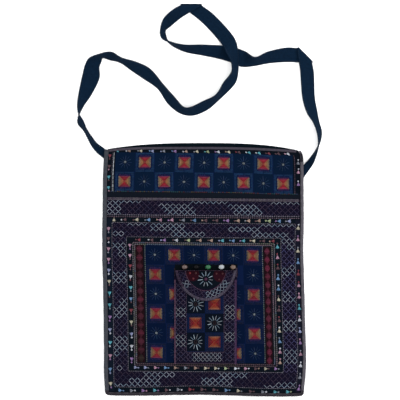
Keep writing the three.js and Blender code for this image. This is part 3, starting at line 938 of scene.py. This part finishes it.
border_rows = lozenge_column(lozenge_columns[0], lozenge_count, left_lozenges, dye(44, 32, 30))
border_rows += lozenge_column(lozenge_columns[1], lozenge_count, right_lozenges, right_lozenges[0])
for x in (panel_field.left, panel_field.right):
    border_rows += back_stitch(x, panel_field.low, x, panel_field.high, step=3, wide=1.2,
                               colours=field_edge_dyes)
for edges in ((-99, 100.6, -138, 35), (-101.6, 103.8, -140.4, 37.4)):
    border_rows += round_frame(chain, *edges, 1.0, dyes=chain_dyes, low_dyes=low_chain_dyes)
for edges in (inner_rim[:4], outer_rim[:4]):
    border_rows += round_frame(back_stitch, *edges, 3.2, 1.05, dyes=thin_dyes, low_dyes=thin_dyes)
for y, line_dyes in ((77.4, pale_lilac_line), (74.7, dusty_rose_line)):
    border_rows += back_stitch(top_lattice.left, y, top_lattice.right, y, step=3.2, wide=1.5,
                               colours=line_dyes)
border_flowers = (
    (-93.2, 41.4, 101.3, 41.4, "rd dw ml wd yd od od cl bb cm io dd ro", 0.95, 0.16),
    (108.4, 33.6, 108.4, -133.9, "cd pr dr bb bw id dd dr iw bg pw op", 1.02),
    (102.9, -143.8, -100.1, -143.8, "mg id do pw ww yd iw io od gd od bb pm lg ll", 0.9),
    (-105.9, -132.2, -105.9, 32.4, "mm ww lw id rd bd cg wr rd pd pm", 1.0, 0.12),
    (-114.2, 70.5, 124.3, 70.5, "dw id bg po pm gd bd do dd mm od og od yy bm lg", 1.0, 0.1),
    (138.2, 61.2, 138.2, -171.6, "iw pm ig bb rr pr pp cc wp ll mp pg ww gg mm", 1.0),
    (122.5, -176.2, -123.4, -176.2, "cy cg gw dd ig bb dd dd rr gw dw cm mp gw bb", 1.0, 0.04),
    (-137.1, -167.7, -137.1, 56.3, "im bl pm cw lw mm cg cd id lw pm pg dw pg", 1.05, 0.18),
)
for row in border_flowers:
    border_rows += flower_line(*row)
border_rows += flower(-129.3, 70.2, -90, "id", 0.85)
panel_borders = sew("panel_borders", border_rows, front_top, on_panel)

# Edge binding. A tape of grey-purple cotton folded over the raw edges of front and back down the sides and
# along the bottom, and sewn through with a running stitch near its upper edge.
binding_thick = 1.2
binding_lip = 5
binding_round = 1.6
binding_puff = 0.8
# How far the tape's upper side reaches in from the edge on the left, on the right and along the bottom.
lip_left, lip_right, lip_bottom = 5.4, 3.9, 4.1
side_steps, bottom_steps, corner_steps = 60, 50, 8


def rim_path():
    """The bag's edge, down the left side, along the bottom and up the right side, and its outward side."""
    left_foot = bottom_edge(-half_width) + corner_round
    right_foot = bottom_edge(half_width) + corner_round
    left_y = np.linspace(back_mouth(np.array([-half_width]))[0], left_foot, side_steps, endpoint=False)
    right_y = np.linspace(right_foot, back_mouth(np.array([half_width]))[0], side_steps + 1)
    left_x, right_x = side_edge(left_foot, 1) + corner_round, side_edge(right_foot, 2) - corner_round
    turn = np.pi * (1 + 0.5 * np.arange(corner_steps) / corner_steps)
    bottom_x = np.linspace(left_x, right_x, bottom_steps, endpoint=False)
    x = np.concatenate([side_edge(left_y, 1), left_x + corner_round * np.cos(turn), bottom_x,
                        right_x + corner_round * np.cos(turn + np.pi / 2), side_edge(right_y, 2)])
    y = np.concatenate([left_y, left_foot + corner_round * np.sin(turn), bottom_edge(bottom_x),
                        right_foot + corner_round * np.sin(turn + np.pi / 2), right_y])
    along = unit(np.stack([np.gradient(x), np.gradient(y)], 1))
    return np.stack([x, y], 1), np.stack([along[:, 1], -along[:, 0]], 1)


rim, rim_outward = rim_path()
binding_low = rim_lift - clearance - binding_thick / 2
binding_high = seam_height + front_thick + clearance + binding_thick / 2
bend_turn = np.radians(np.linspace(-90, 90, 13))
bend_out = -binding_thick / 2 - binding_round + (binding_round + binding_puff) * np.cos(bend_turn)
bend_z = np.where(bend_turn < 0, binding_low + binding_round, binding_high - binding_round)
bend_z = bend_z + binding_round * np.sin(bend_turn)
section_out = np.concatenate([[-binding_lip, -3.5], bend_out, [-3.5, -binding_lip]])
section_z = np.concatenate([[binding_low] * 2, bend_z, [binding_high] * 2])
fold_start = binding_thick / 2 + binding_round
to_left, to_right, to_bottom = (np.maximum(0, side) ** 2
                                for side in (-rim_outward[:, 0], rim_outward[:, 0], -rim_outward[:, 1]))
upper_lip = lip_left * to_left + lip_right * to_right + lip_bottom * to_bottom


def binding_place(u, v):
    i = np.rint(u * (len(rim) - 1)).astype(int)
    j = np.rint(v * (len(section_out) - 1)).astype(int)
    pucker = 0.14 * np.sin(i * 1.9) * np.sin(np.pi * v) + 0.1 * np.sin(i * 0.73)
    out = section_out[j] + pucker
    out = np.where(j == len(section_out) - 2, -(upper_lip[i] + fold_start) / 2, out)
    out = np.where(j == len(section_out) - 1, -upper_lip[i], out)
    plan = rim[i] + rim_outward[i] * out[:, None]
    return np.concatenate([plan, section_z[j][:, None]], 1)


binding_steps = (len(rim) - 1, len(section_out) - 1)
edge_binding = cloth("edge_binding_tape", *binding_steps, binding_place, binding_thick, side=0)
# On the left the tape is grey. On the right it is paler, painted light from the side the light falls on.
# Along the bottom and in the top right corner it is darker.
binding_zones = (
    (Zone(0, 160, -176, 190), dye(98, 95, 103)),
    (Zone(-160, 160, -190, -176), dye(54, 50, 57)),
    (Zone(100, 160, 155, 168), dye(40, 40, 48)),
)
binding_material = dyed_cotton("binding_cotton", dye(71, 75, 83), binding_zones, thread_step=0.8,
                               run_map="cloth_run")
edge_binding.data.materials.append(binding_material)
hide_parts("edge_binding")
binding_top = binding_high + binding_thick / 2


def on_binding(x, y):
    return np.full_like(x, binding_top)


seam_run = rim - rim_outward * (upper_lip - 1)[:, None]
binding_dyes = [dye(92, 90, 98), dye(78, 76, 84)]
# A step longer than any gap makes each line one stitch.
one_stitch = 99
binding_rows = []
for here, there in zip(seam_run[:-1:2], seam_run[1::2]):
    middle = (here + there) / 2
    reach = there - here
    ends = (*(middle - 0.7 * reach), *(middle + 0.7 * reach))
    binding_rows += back_stitch(*ends, one_stitch, wide=0.8, colours=binding_dyes)
binding_stitches = sew("edge_binding_stitches", binding_rows, on_binding)

# Mouth binding. A narrow purple-grey tape turned over the front's top edge and sewn down below it. It runs
# from one side binding to the other.
mouth_lip = 3.6
mouth_end = 172.0
mouth_bend = np.radians(np.linspace(0, 90, 7))
mouth_round = clearance + mouth_thick / 2
mouth_out = -mouth_thick / 2 - mouth_round + mouth_round * np.cos(mouth_bend)
mouth_out = np.concatenate([[-mouth_thick / 2], mouth_out, [-mouth_lip]])
mouth_drop = np.concatenate([[front_thick], -mouth_round * np.sin(mouth_bend), [-mouth_round]])


def between_bindings(y):
    """Where a tape across the front ends on the left and on the right."""
    return side_edge(y, 1) + binding_lip + clearance, side_edge(y, 2) - binding_lip - clearance


def mouth_place(u, v):
    left, right = between_bindings(mouth_end)
    x = right + (left - right) * u
    j = np.rint(v * (len(mouth_out) - 1)).astype(int)
    edge = front_mouth(x)
    height = front_top(x, edge - mouth_thick) - mouth_drop[j] + 0.08 * np.sin(x * 1.3)
    return np.stack([x, edge + mouth_out[j], height], 1)


mouth_binding = cloth("mouth_binding_tape", 150, len(mouth_out) - 1, mouth_place, mouth_thick, side=0)
mouth_material = woven_material("mouth_cotton", dye(76, 72, 83), thread_step=0.8, run_map="cloth_run")[0]
mouth_binding.data.materials.append(mouth_material)
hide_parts("mouth_binding")

# Cross braid. A flat purple-grey braid sewn over the seam of band and panel: slanting threads from both
# edges that meet along its middle.
braid_wide = 4.2
braid_thick = 0.5
braid_step = 1.25
# Each braid thread: how far from the middle line it starts and ends, how far it slants, its width and lift.
braid_out, braid_in, braid_slant = 1.95, 0.1, 1.6
braid_thread, braid_lift = 1.05, 0.45
braid_left, braid_right = between_bindings(seam_middle)
braid_dyes = [dye(104, 98, 110), dye(90, 82, 99), dye(110, 105, 112)]


def under_braid(x, y):
    return front_top(x, y) + clearance


def braid_place(u, v):
    x = braid_left + (braid_right - braid_left) * u
    y = seam_line(x) + (v - 0.5) * braid_wide
    return np.stack([x, y, under_braid(x, y) + braid_thick], 1)


cross_braid = cloth("cross_braid_tape", 90, 4, braid_place, braid_thick, side=-1)
cross_braid.data.materials.append(woven_material("braid_cotton", dye(60, 50, 64), thread_step=0.8)[0])
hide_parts("cross_braid")
braid_rows = []
for x in np.arange(braid_left + 1, braid_right - 2, braid_step):
    colour = braid_dyes[thread_random.integers(len(braid_dyes))]
    middle = seam_line(x)
    for s in (1, -1):
        ends = (x, middle + s * braid_out, x + braid_slant, middle + s * braid_in)
        braid_rows.append((*ends, braid_thread, braid_lift, *colour))
sew("cross_braid_threads", braid_rows, under_braid)

# Pocket. A pouch of the same navy cotton sewn to the panel along three edges, with a lattice frame round
# six cells of squares and bright stars.
pocket_left, pocket_right, pocket_mouth, pocket_bottom = -43.1, 48.3, -11, -137.8
pocket_wall = 1.6
pocket_rise = 5.8
pocket_ramp = 16


def pocket_bulge(x, y):
    sides = smooth((x - pocket_left) / pocket_ramp) * smooth((pocket_right - x) / pocket_ramp)
    return pocket_rise * sides * smooth((y - pocket_bottom) / pocket_ramp)


def pouch_top(x, y):
    return front_top(x, y) + clearance + pocket_bulge(x, y) + pocket_wall


def pouch_place(u, v):
    x = pocket_left + (pocket_right - pocket_left) * u
    y = pocket_bottom + (pocket_mouth - pocket_bottom) * v
    return np.stack([x, y, pouch_top(x, y)], 1)


pouch_field = Zone(-25, 29, -120, -11)
pouch_cells = Zone(-25.6, 29, -119.9, -37, 27.4, 27.4)
pocket_pouch = cloth("pocket_pouch_cloth", 36, 48, pouch_place, pocket_wall, side=-1)
pouch_zones = [
    (Zone(-50, 60, -140, 0), lattice_purple),
    (pouch_field, dye(7, 15, 28)),
    (pouch_cells, square_blue, True),
]
pocket_pouch.data.materials.append(dyed_cotton("pocket_cotton", ground_black, pouch_zones))
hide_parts("pocket_pouch")
pouch_star_dyes = [dye(156, 172, 184), dye(112, 132, 150), dye(130, 136, 146)]
brown_silk = dye(56, 38, 38)
amber_caps = [dye(146, 32, 30), dye(148, 45, 34), dye(156, 74, 48), dye(156, 102, 76)]
deep_red_sides = [dye(146, 28, 28), dye(136, 22, 28), dye(118, 27, 37), dye(92, 30, 46)]
pouch_square = square_motif(cell=26.6, wide=16.9, tall=16.2, caps=amber_caps, sides=deep_red_sides,
                            cross=dye(150, 76, 54), edge=dye(74, 32, 48), halo=dye(26, 28, 48),
                            ground=panel_blue)
star_ring, ring_knot = 1.9, 1.9
pouch_rows = []
for row, column, x, y in cells(pouch_cells, 2, 3):
    if (row + column) % 2:
        pouch_rows += moved(pouch_square, x, y)
    else:
        star = star_motif(inner=3.8, outer=12, spokes=12, wide=1.05, colours=pouch_star_dyes, first_turn=15)
        pouch_rows += moved(star, x, y)
        for a in np.radians(np.arange(0, 360, 60)):
            pouch_rows += knot(x + star_ring * np.cos(a), y + star_ring * np.sin(a), ring_knot, brown_silk)
pouch_bright = [dye(138, 143, 156), dye(122, 134, 148), dye(142, 142, 152)]
# Each strip: its start and directions, its length, depth, rows, patches and diamonds' width.
pouch_strips = (
    ((-40.6, -20), down, right, 114, 14.6, 4, [(0, 4, 34, 51, 0), (0, 4, 76, 92, 0)], 7.1),
    ((45.6, -20), down, left, 114, 15.4, 4, [(0, 4, 31, 53, 0), (0, 4, 72, 86, 0)], 7.1),
    ((-25.6, -120.9), right, down, 54.4, 13.4, 4, [(0, 4, 9, 51, 0)], 6),
)
for start, along, across, *sizes in pouch_strips:
    pouch_rows += lattice(strip(start, along, across), *sizes, dim=left_lattice, bright=pouch_bright)
pink_edge = [dye(114, 82, 106), dye(100, 72, 94)]
mauve_edge = [dye(80, 64, 84), dye(70, 56, 76)]
plum_edge = [dye(86, 58, 94), dye(74, 50, 84)]
overcast_step = 1.1
for y in np.arange(pocket_bottom + 0.6, -16, overcast_step):
    pouch_rows.append((pocket_left + 0.2, y, pocket_left + 2.8, y, 1.0, 0, *pink_edge[int(y) % 2]))
    pouch_rows.append((pocket_right - 4.2, y, pocket_right - 0.2, y, 1.0, 0, *plum_edge[int(y) % 2]))
for x in np.arange(pocket_left + 2.5, pocket_right - 2.2, overcast_step):
    pouch_rows.append((x, pocket_bottom + 0.2, x, pocket_bottom + 2.1, 1.0, 0, *mauve_edge[int(x) % 2]))
for line in ((-25.2, -20, -25.2, -120.4), (29.4, -20, 29.4, -120.4), (-25.2, -120.4, 29.4, -120.4)):
    pouch_rows += back_stitch(*line, step=3, wide=1.1, colours=mauve_edge)
pouch_stitches = sew("pocket_embroidery", pouch_rows, pouch_top)
tack_rows = []
for y in np.arange(-12, 1.6, overcast_step):
    tack_rows.append((pocket_left + 0.2, y, pocket_left + 1.6, y, 1.0, 0.1, *brown_silk))
    tack_rows.append((pocket_right - 3.4, y, pocket_right + 0.6, y, 1.0, 0.1, *mauve_edge[int(y) % 2]))
pouch_tacks = sew("pocket_side_tacks", tack_rows, front_top)

# Flap. A half-round piece of the navy cotton, sewn down along its straight edge and lying over the pocket's
# mouth, with overcast edge, lattice along the curve, one star and red knots inside.
flap_middle, flap_half, flap_root, flap_depth = 3, 44.6, -1.5, 44.2
flap_wall = 1.6
flap_gap = 0.7
flap_ramp = 7
flap_round = 0.6
flap_side_cut = 0.985
# How sharply a dyed round ends.
round_edge = 12


def flap_top(x, y):
    over = smooth((flap_root - y) / flap_ramp)
    bulge = pocket_bulge(x, np.minimum(y, pocket_mouth))
    return front_top(x, y) + clearance + over * (pocket_wall + flap_gap + bulge) + flap_wall


def flap_place(u, v):
    s = (2 * u - 1) * flap_side_cut
    x = flap_middle + flap_half * s
    y = flap_root - flap_depth * (1 - s * s) ** flap_round * (1 - v)
    return np.stack([x, y, flap_top(x, y)], 1)


def flap_curve(turn, share):
    """A point on the flap's curved edge, or on a smaller copy: turn 0 is its right end, 180 its left."""
    a = np.radians(turn)
    x = flap_middle + share * flap_half * flap_side_cut * np.cos(a)
    return x, flap_root - share * flap_depth * np.abs(np.sin(a)) ** (2 * flap_round)


pocket_flap = cloth("pocket_flap_cloth", 48, 24, flap_place, flap_wall, side=-1)


def dye_round(tree, base, x, y, half, depth, colour):
    """Lays a dyed half-round or oval over the ground."""
    oval = {"Vector": place_on(tree), "Location": (-x / half, -y / depth, 0),
            "Scale": (1 / (half * MM), 1 / (depth * MM), 0)}
    oval_run = add_node(tree, "ShaderNodeMapping", oval)[0]
    fall = add_node(tree, "ShaderNodeTexGradient", {"Vector": oval_run}, gradient_type="SPHERICAL")["Fac"]
    return mix_colours(tree, math_node(tree, "MULTIPLY", fall, round_edge, use_clamp=True), base, colour)


flap_material, flap_tree, flap_shader, flap_base = woven_material("flap_cotton", lattice_purple, 0.7)
# Each dyed round: its middle, half its width, its depth and its colour.
flap_rounds = (
    (flap_middle, flap_root, 30, 28.6, ground_black),
    (-16, -8, 10, 10, dye(43, 12, 23)),
    (22.5, -9, 9, 10, dye(43, 13, 25)),
)
for row in flap_rounds:
    flap_base = dye_round(flap_tree, flap_base, *row)
feed(flap_tree, flap_base, flap_shader.inputs["Base Color"])
pocket_flap.data.materials.append(flap_material)
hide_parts("pocket_flap")
flap_edge_dyes = [dye(86, 79, 96), dye(72, 65, 84)]
flap_dim_dyes = [dye(62, 48, 70), dye(50, 38, 58)]
# The lattice runs from 6 to 174 degrees of the curve, and the overcast edge is dull past dull_turn.
lattice_start, lattice_turn = 6, 168
lattice_inner, lattice_depth = 0.69, 0.23
inner_curve = 0.675
overcast_inner, overcast_outer = 0.91, 1.015
dull_turn = 142


def flap_strip(turn, deep):
    return flap_curve(lattice_start + turn, lattice_inner + deep)


flap_patches = [(0, 2, 27, 86, 0), (0, 2, 127, 144, 0)]
flap_rows = lattice(flap_strip, lattice_turn, lattice_depth, 3, flap_patches, diamond=9.9,
                    wide=(0.75, 0.75), over=0)
for turn in np.arange(2, 178.5, 1.35):
    dyes = flap_dim_dyes if turn > dull_turn else flap_edge_dyes
    ends = (*flap_curve(turn, overcast_inner), *flap_curve(turn + 1, overcast_outer))
    flap_rows.append((*ends, 1.2, 0.1, *dyes[int(turn) % 2]))
for turn in np.arange(4, 175, 3):
    ends = (*flap_curve(turn, inner_curve), *flap_curve(turn + 3, inner_curve))
    flap_rows.append((*ends, 1.1, 0.05, *pink_edge[int(turn) % 2]))
flap_star = star_motif(inner=4.2, outer=12.2, spokes=11, wide=1.15, colours=pouch_star_dyes, first_turn=90)
star_y = -14.5
flap_rows += moved(flap_star, flap_middle, star_y)
flap_rows += knot(flap_middle, star_y, size=6, colour=dye(88, 50, 80))
red_knots = ((-19.9, -5.8, 128, 46, 52), (-11.2, -5.8, 92, 56, 60), (-15.1, -13.8, 98, 44, 52),
             (18.6, -6.5, 86, 42, 50), (27.3, -6.5, 84, 44, 52), (22.2, -15.2, 82, 40, 48))
for x, y, *colour in red_knots:
    flap_rows += knot(x, y, size=4.2, colour=dye(*colour))
root_line, root_half = flap_root - 0.9, 42
flap_rows += back_stitch(flap_middle - root_half, root_line, flap_middle + root_half, root_line, step=3,
                         wide=1.0, colours=mauve_edge)
flap_stitches = sew("flap_embroidery", flap_rows, flap_top)

# Beads. Five drilled glass beads in a row above the flap, each held by a thread that comes up through the
# cloth, passes through the bead and goes down again.
bead_hole = 0.9
bead_flatness = 0.82
bead_sides, bead_turns = 15, 28
bead_dark, bead_pale = 0.8, 1.15
# For each bead its slot, its colour and how much it shines.
bead_looks = {
    "pocket_bead_1": ("bead_peach", dye(100, 80, 76), 0.4),
    "pocket_bead_2": ("bead_black", dye(10, 10, 14), 0.06),
    "pocket_bead_3": ("bead_green", dye(36, 108, 66), 0.3),
    "pocket_bead_4": ("bead_white", dye(190, 198, 202), 0.2),
    "pocket_bead_5": ("bead_tan", dye(116, 95, 82), 0.3),
}


def drilled_bead(node, slot, colour, shine):
    low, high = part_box(node)
    middle, radius = (low + high) / 2, (high.z - low.z) / 2
    bm = bmesh.new()
    hole_turn = np.arcsin(bead_hole * MM / radius)
    ring = []
    for a in np.linspace(hole_turn, np.pi - hole_turn, bead_sides):
        out = Vector((radius * np.cos(a), 0, bead_flatness * radius * np.sin(a)))
        ring.append(bm.verts.new(middle + out))
    edges = [bm.edges.new(pair) for pair in zip(ring, ring[1:] + ring[:1])]
    bmesh.ops.spin(bm, geom=ring + edges, cent=middle, axis=(1, 0, 0), angle=2 * np.pi,
                   steps=bead_turns, use_merge=True)
    bmesh.ops.recalc_face_normals(bm, faces=bm.faces)
    bead = mesh_object(node + "_drilled", bm)
    material, tree, shader = new_material(slot + "_glass", rough=0.18, specular=shine)
    cloud = add_node(tree, "ShaderNodeTexNoise", {"Vector": place_on(tree), "Scale": 420})[0]
    dark, pale = (tuple(min(1, c * share) for c in colour) for share in (bead_dark, bead_pale))
    feed(tree, mix_colours(tree, cloud, dark, pale), shader.inputs["Base Color"])
    bead.data.materials.append(material)
    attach(bead, "root")
    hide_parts(node)
    return middle / MM, radius / MM


# A bead's thread on each side: its head in the hole, its knee outside the bead and its foot in the cloth.
head_in, knee_out, foot_out = 1.5, 0.9, 1.6
knee_drop, foot_sink = 0.6, 0.3
bead_paths = []
for node, look in bead_looks.items():
    middle, radius = drilled_bead(node, *look)
    for s in (1, -1):
        foot_x = middle.x + s * (radius + foot_out)
        foot_z = front_top(np.array([foot_x]), np.array([middle.y]))[0] - foot_sink
        head = np.array((middle.x + s * (radius - head_in), middle.y, middle.z))
        foot = np.array((foot_x, middle.y, foot_z))
        knee = np.array((middle.x + s * (radius + knee_out), middle.y, middle.z - knee_drop))
        bead_paths.append([head, 0.5 * head + 0.5 * knee, knee, 0.4 * knee + 0.6 * foot, foot])
thread_mesh("bead_threads", np.array(bead_paths), (0, 1, 0), wide=0.8, colour=dye(40, 40, 56))

# Strap. One long tape of navy cotton, doubled and topstitched along both edges, sewn under the bag's top
# corners. It lies loosely on the table, on edge, half turned and folded over twice.
strap_wide = 21.5
strap_thick = 1.9
tape_thick = strap_thick * 0.9
strap_floor = 0.4
strap_fold_gap = 0.6
strap_ease = 1.025
fold = True
# From the left end to the right end: x, y, direction across and tilt of the strap's second edge, and where
# they are not the usual ones its width, its lift and a fold.
strap_usual = (strap_wide, 0, False)
strap_rows = (
    (-129.6, 156.1, 53, 0, 12, 0.3),
    (-144.9, 167.8, 53, 0, 11.8),
    (-151.7, 173.2, 50, 0, 11.6),
    (-159.5, 181.2, 35, 62, 18),
    (-171.7, 201.4, 29, 77),
    (-178.9, 213.6, 27, 65),
    (-180.8, 224.3, 0, 90),
    (-178.6, 237.3, 170, 65),
    (-171.7, 255.4, 168, 29),
    (-163.2, 281.5, 163, 0, 25.2),
    (-162, 294.1, 175, 6),
    (-157.8, 302.8, 164, 29),
    (-150.4, 308.4, 150, 66),
    (-135.9, 309, 76, 57),
    (-120.4, 302.8, 64, 71),
    (-103.9, 295.2, 62, 51),
    (-83.3, 283.6, 54, 35),
    (-62.9, 264.8, 42, 61),
    (-47.3, 244.7, 41, 51),
    (-31, 230, 60, 61),
    (-17.7, 228.7, 99, 54),
    (2.2, 237.1, 118, 50),
    (20.6, 249.7, 140, 66),
    (34.7, 266.8, 143, 49),
    (41.2, 275.4, 153, 51, strap_wide, 0.8),
    (45.2, 286, 167, 62, strap_wide, 2),
    (45, 300.1, 180, 61, strap_wide, 2.6),
    (41, 315.7, 192, 34, strap_wide, 2.6),
    (35.3, 330.5, 200, 0, 21, 1.6),
    (5.4, 364.1, 223, 0, 20),
    (-18.1, 385, 180, 0, 30.4, 0, fold),
    (-36.6, 371.7, 129, 41, strap_wide, 2.6),
    (-52.9, 357.8, 130, 45, strap_wide, 0.6),
    (-59.3, 344.4, 204, 67),
    (-57.4, 335.5, 209, 72),
    (-49.9, 328.7, 52, 86),
    (-28.6, 320.3, 78, 65),
    (-1, 317.5, 83, 45),
    (35.3, 312.5, 78, 0),
    (57.6, 304.8, 82, 0, 23.4),
    (75, 300.9, 93, 56),
    (93.2, 306.5, 98, 40),
    (122.2, 310.8, 92, 0, 21.2),
    (148.4, 311.5, 135, 0, 30.3, 0, fold),
    (149.9, 285.6, 180, 8, 20, 2.6),
    (152.2, 247.9, 184, 31),
    (157, 228.2, 192, 44),
    (163, 213.2, 198, 65),
    (167.8, 197.2, 185, 71),
    (166.3, 179.1, 189, 88),
    (156.7, 157.8, -37, 61, 16),
    (152.1, 151.1, -38, 0, 10.4),
    (147.1, 144.6, -38, 0, 10.8),
    (137.1, 131.7, -38, 0, 12),
)


def strap_edges():
    """The strap's two edges, row by row, with each fold turned over in three sections."""
    near, far = [], []
    fold_turn = (strap_thick + strap_fold_gap) / 2
    for x, y, across, tilt, *own in strap_rows:
        wide, lift, folded = (*own, *strap_usual[len(own):])
        across, tilt = np.radians(across), np.radians(tilt)
        level = np.cos(tilt)
        half = np.array((np.cos(across) * level, np.sin(across) * level, np.sin(tilt))) * wide / 2
        inward = np.array((-np.sin(across), np.cos(across), 0))
        low = (wide * np.sin(tilt) + strap_thick * level) / 2
        insets = ((0, 0),)
        if folded:
            far_in = fold_turn + strap_thick / 2
            insets = ((far_in, 0), (strap_thick / 2, fold_turn), (far_in, 2 * fold_turn))
        for inset, up in insets:
            middle = np.array((x, y, strap_floor + lift + low + up)) + inward * inset
            near.append(middle - half)
            far.append(middle + half)
    return np.array(near), np.array(far)


def smooth_curve(points, steps):
    """A smooth curve through points, its tangents set by the square roots of the gaps between them."""
    ends = (2 * points[0] - points[1], 2 * points[-1] - points[-2])
    p = np.concatenate([ends[:1], points, ends[1:]])
    gap = np.linalg.norm(np.diff(p, axis=0), axis=1)[:, None] ** 0.5
    speed = np.diff(p, axis=0) / gap
    wider = (p[2:] - p[:-2]) / (gap[1:] + gap[:-1])
    tangent = speed[:-1] - wider + speed[1:]
    t = (np.arange(steps) / steps)[None, :, None]
    a, b = points[:-1, None], points[1:, None]
    into, out = (tangent[:-1] * gap[1:-1])[:, None], (tangent[1:] * gap[1:-1])[:, None]
    curve = a + t * into + t * t * (3 * (b - a) - 2 * into - out) + t**3 * (2 * (a - b) + into + out)
    return np.concatenate([curve.reshape(-1, 3), points[-1:]])


near_edge, far_edge = (smooth_curve(edge, 8) for edge in strap_edges())
# The softened edges draw in, so the tape is bent from a little wider one.
strap_middle, strap_half = (near_edge + far_edge) / 2, (far_edge - near_edge) / 2 * strap_ease
strap_along = np.gradient(strap_middle, axis=0)
strap_normal = unit(np.cross(strap_along, strap_half))
strap_low = strap_middle[:, 2] - np.abs(strap_half[:, 2]) - np.abs(strap_normal[:, 2]) * strap_thick / 2
strap_middle[:, 2] += np.maximum(0, strap_floor - strap_low)
strap_sections = len(strap_middle) - 1


def strap_place(u, v):
    i = np.rint(u * strap_sections).astype(int)
    crease = 0.18 * np.sin(i * 0.83 + 5 * v) * np.sin(np.pi * v) + 0.12 * np.sin(i * 0.31 - 3 * v)
    return strap_middle[i] + strap_half[i] * (2 * v - 1)[:, None] + strap_normal[i] * crease[:, None]


strap = cloth("strap_tape", strap_sections, 8, strap_place, tape_thick, side=0)
strap_material = woven_material("strap_cotton", dye(14, 35, 57), thread_step=0.9, run_map="cloth_run",
                                depth=0.3)[0]
strap.data.materials.append(strap_material)
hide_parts("strap")
run_of_strap = np.insert(np.linalg.norm(np.diff(strap_middle, axis=0), axis=1).cumsum(), 0, 0)
strap_long = run_of_strap[-1]
topstitch_step, topstitch_long, topstitch_wide = 3.4, 2.7, 0.7
topstitch_edge = 0.84
stitch_starts = np.arange(4, strap_long - 6, topstitch_step)
stitch_wides = np.full(len(stitch_starts), topstitch_wide)
where = stitch_starts[:, None] + topstitch_long * ring_shares(stitch_wides, topstitch_long)
rise = tape_thick / 2 + topstitch_wide * ring_lifts


def along_strap(rows):
    """A value of the strap's sections at the places of the topstitches."""
    return np.stack([np.interp(where, run_of_strap, rows[:, k]) for k in range(3)], 2)


topstitch_paths, topstitch_up = [], []
for edge_share in (-topstitch_edge, topstitch_edge):
    for face in (1, -1):
        spots = along_strap(strap_middle + edge_share * strap_half)
        normal = along_strap(strap_normal) * face
        topstitch_paths.append(spots + normal * rise[None, :, None])
        topstitch_up.append(normal[:, 2])
topstitch = thread_mesh("strap_topstitch", np.concatenate(topstitch_paths), np.concatenate(topstitch_up),
                        topstitch_wide, dye(20, 44, 68))
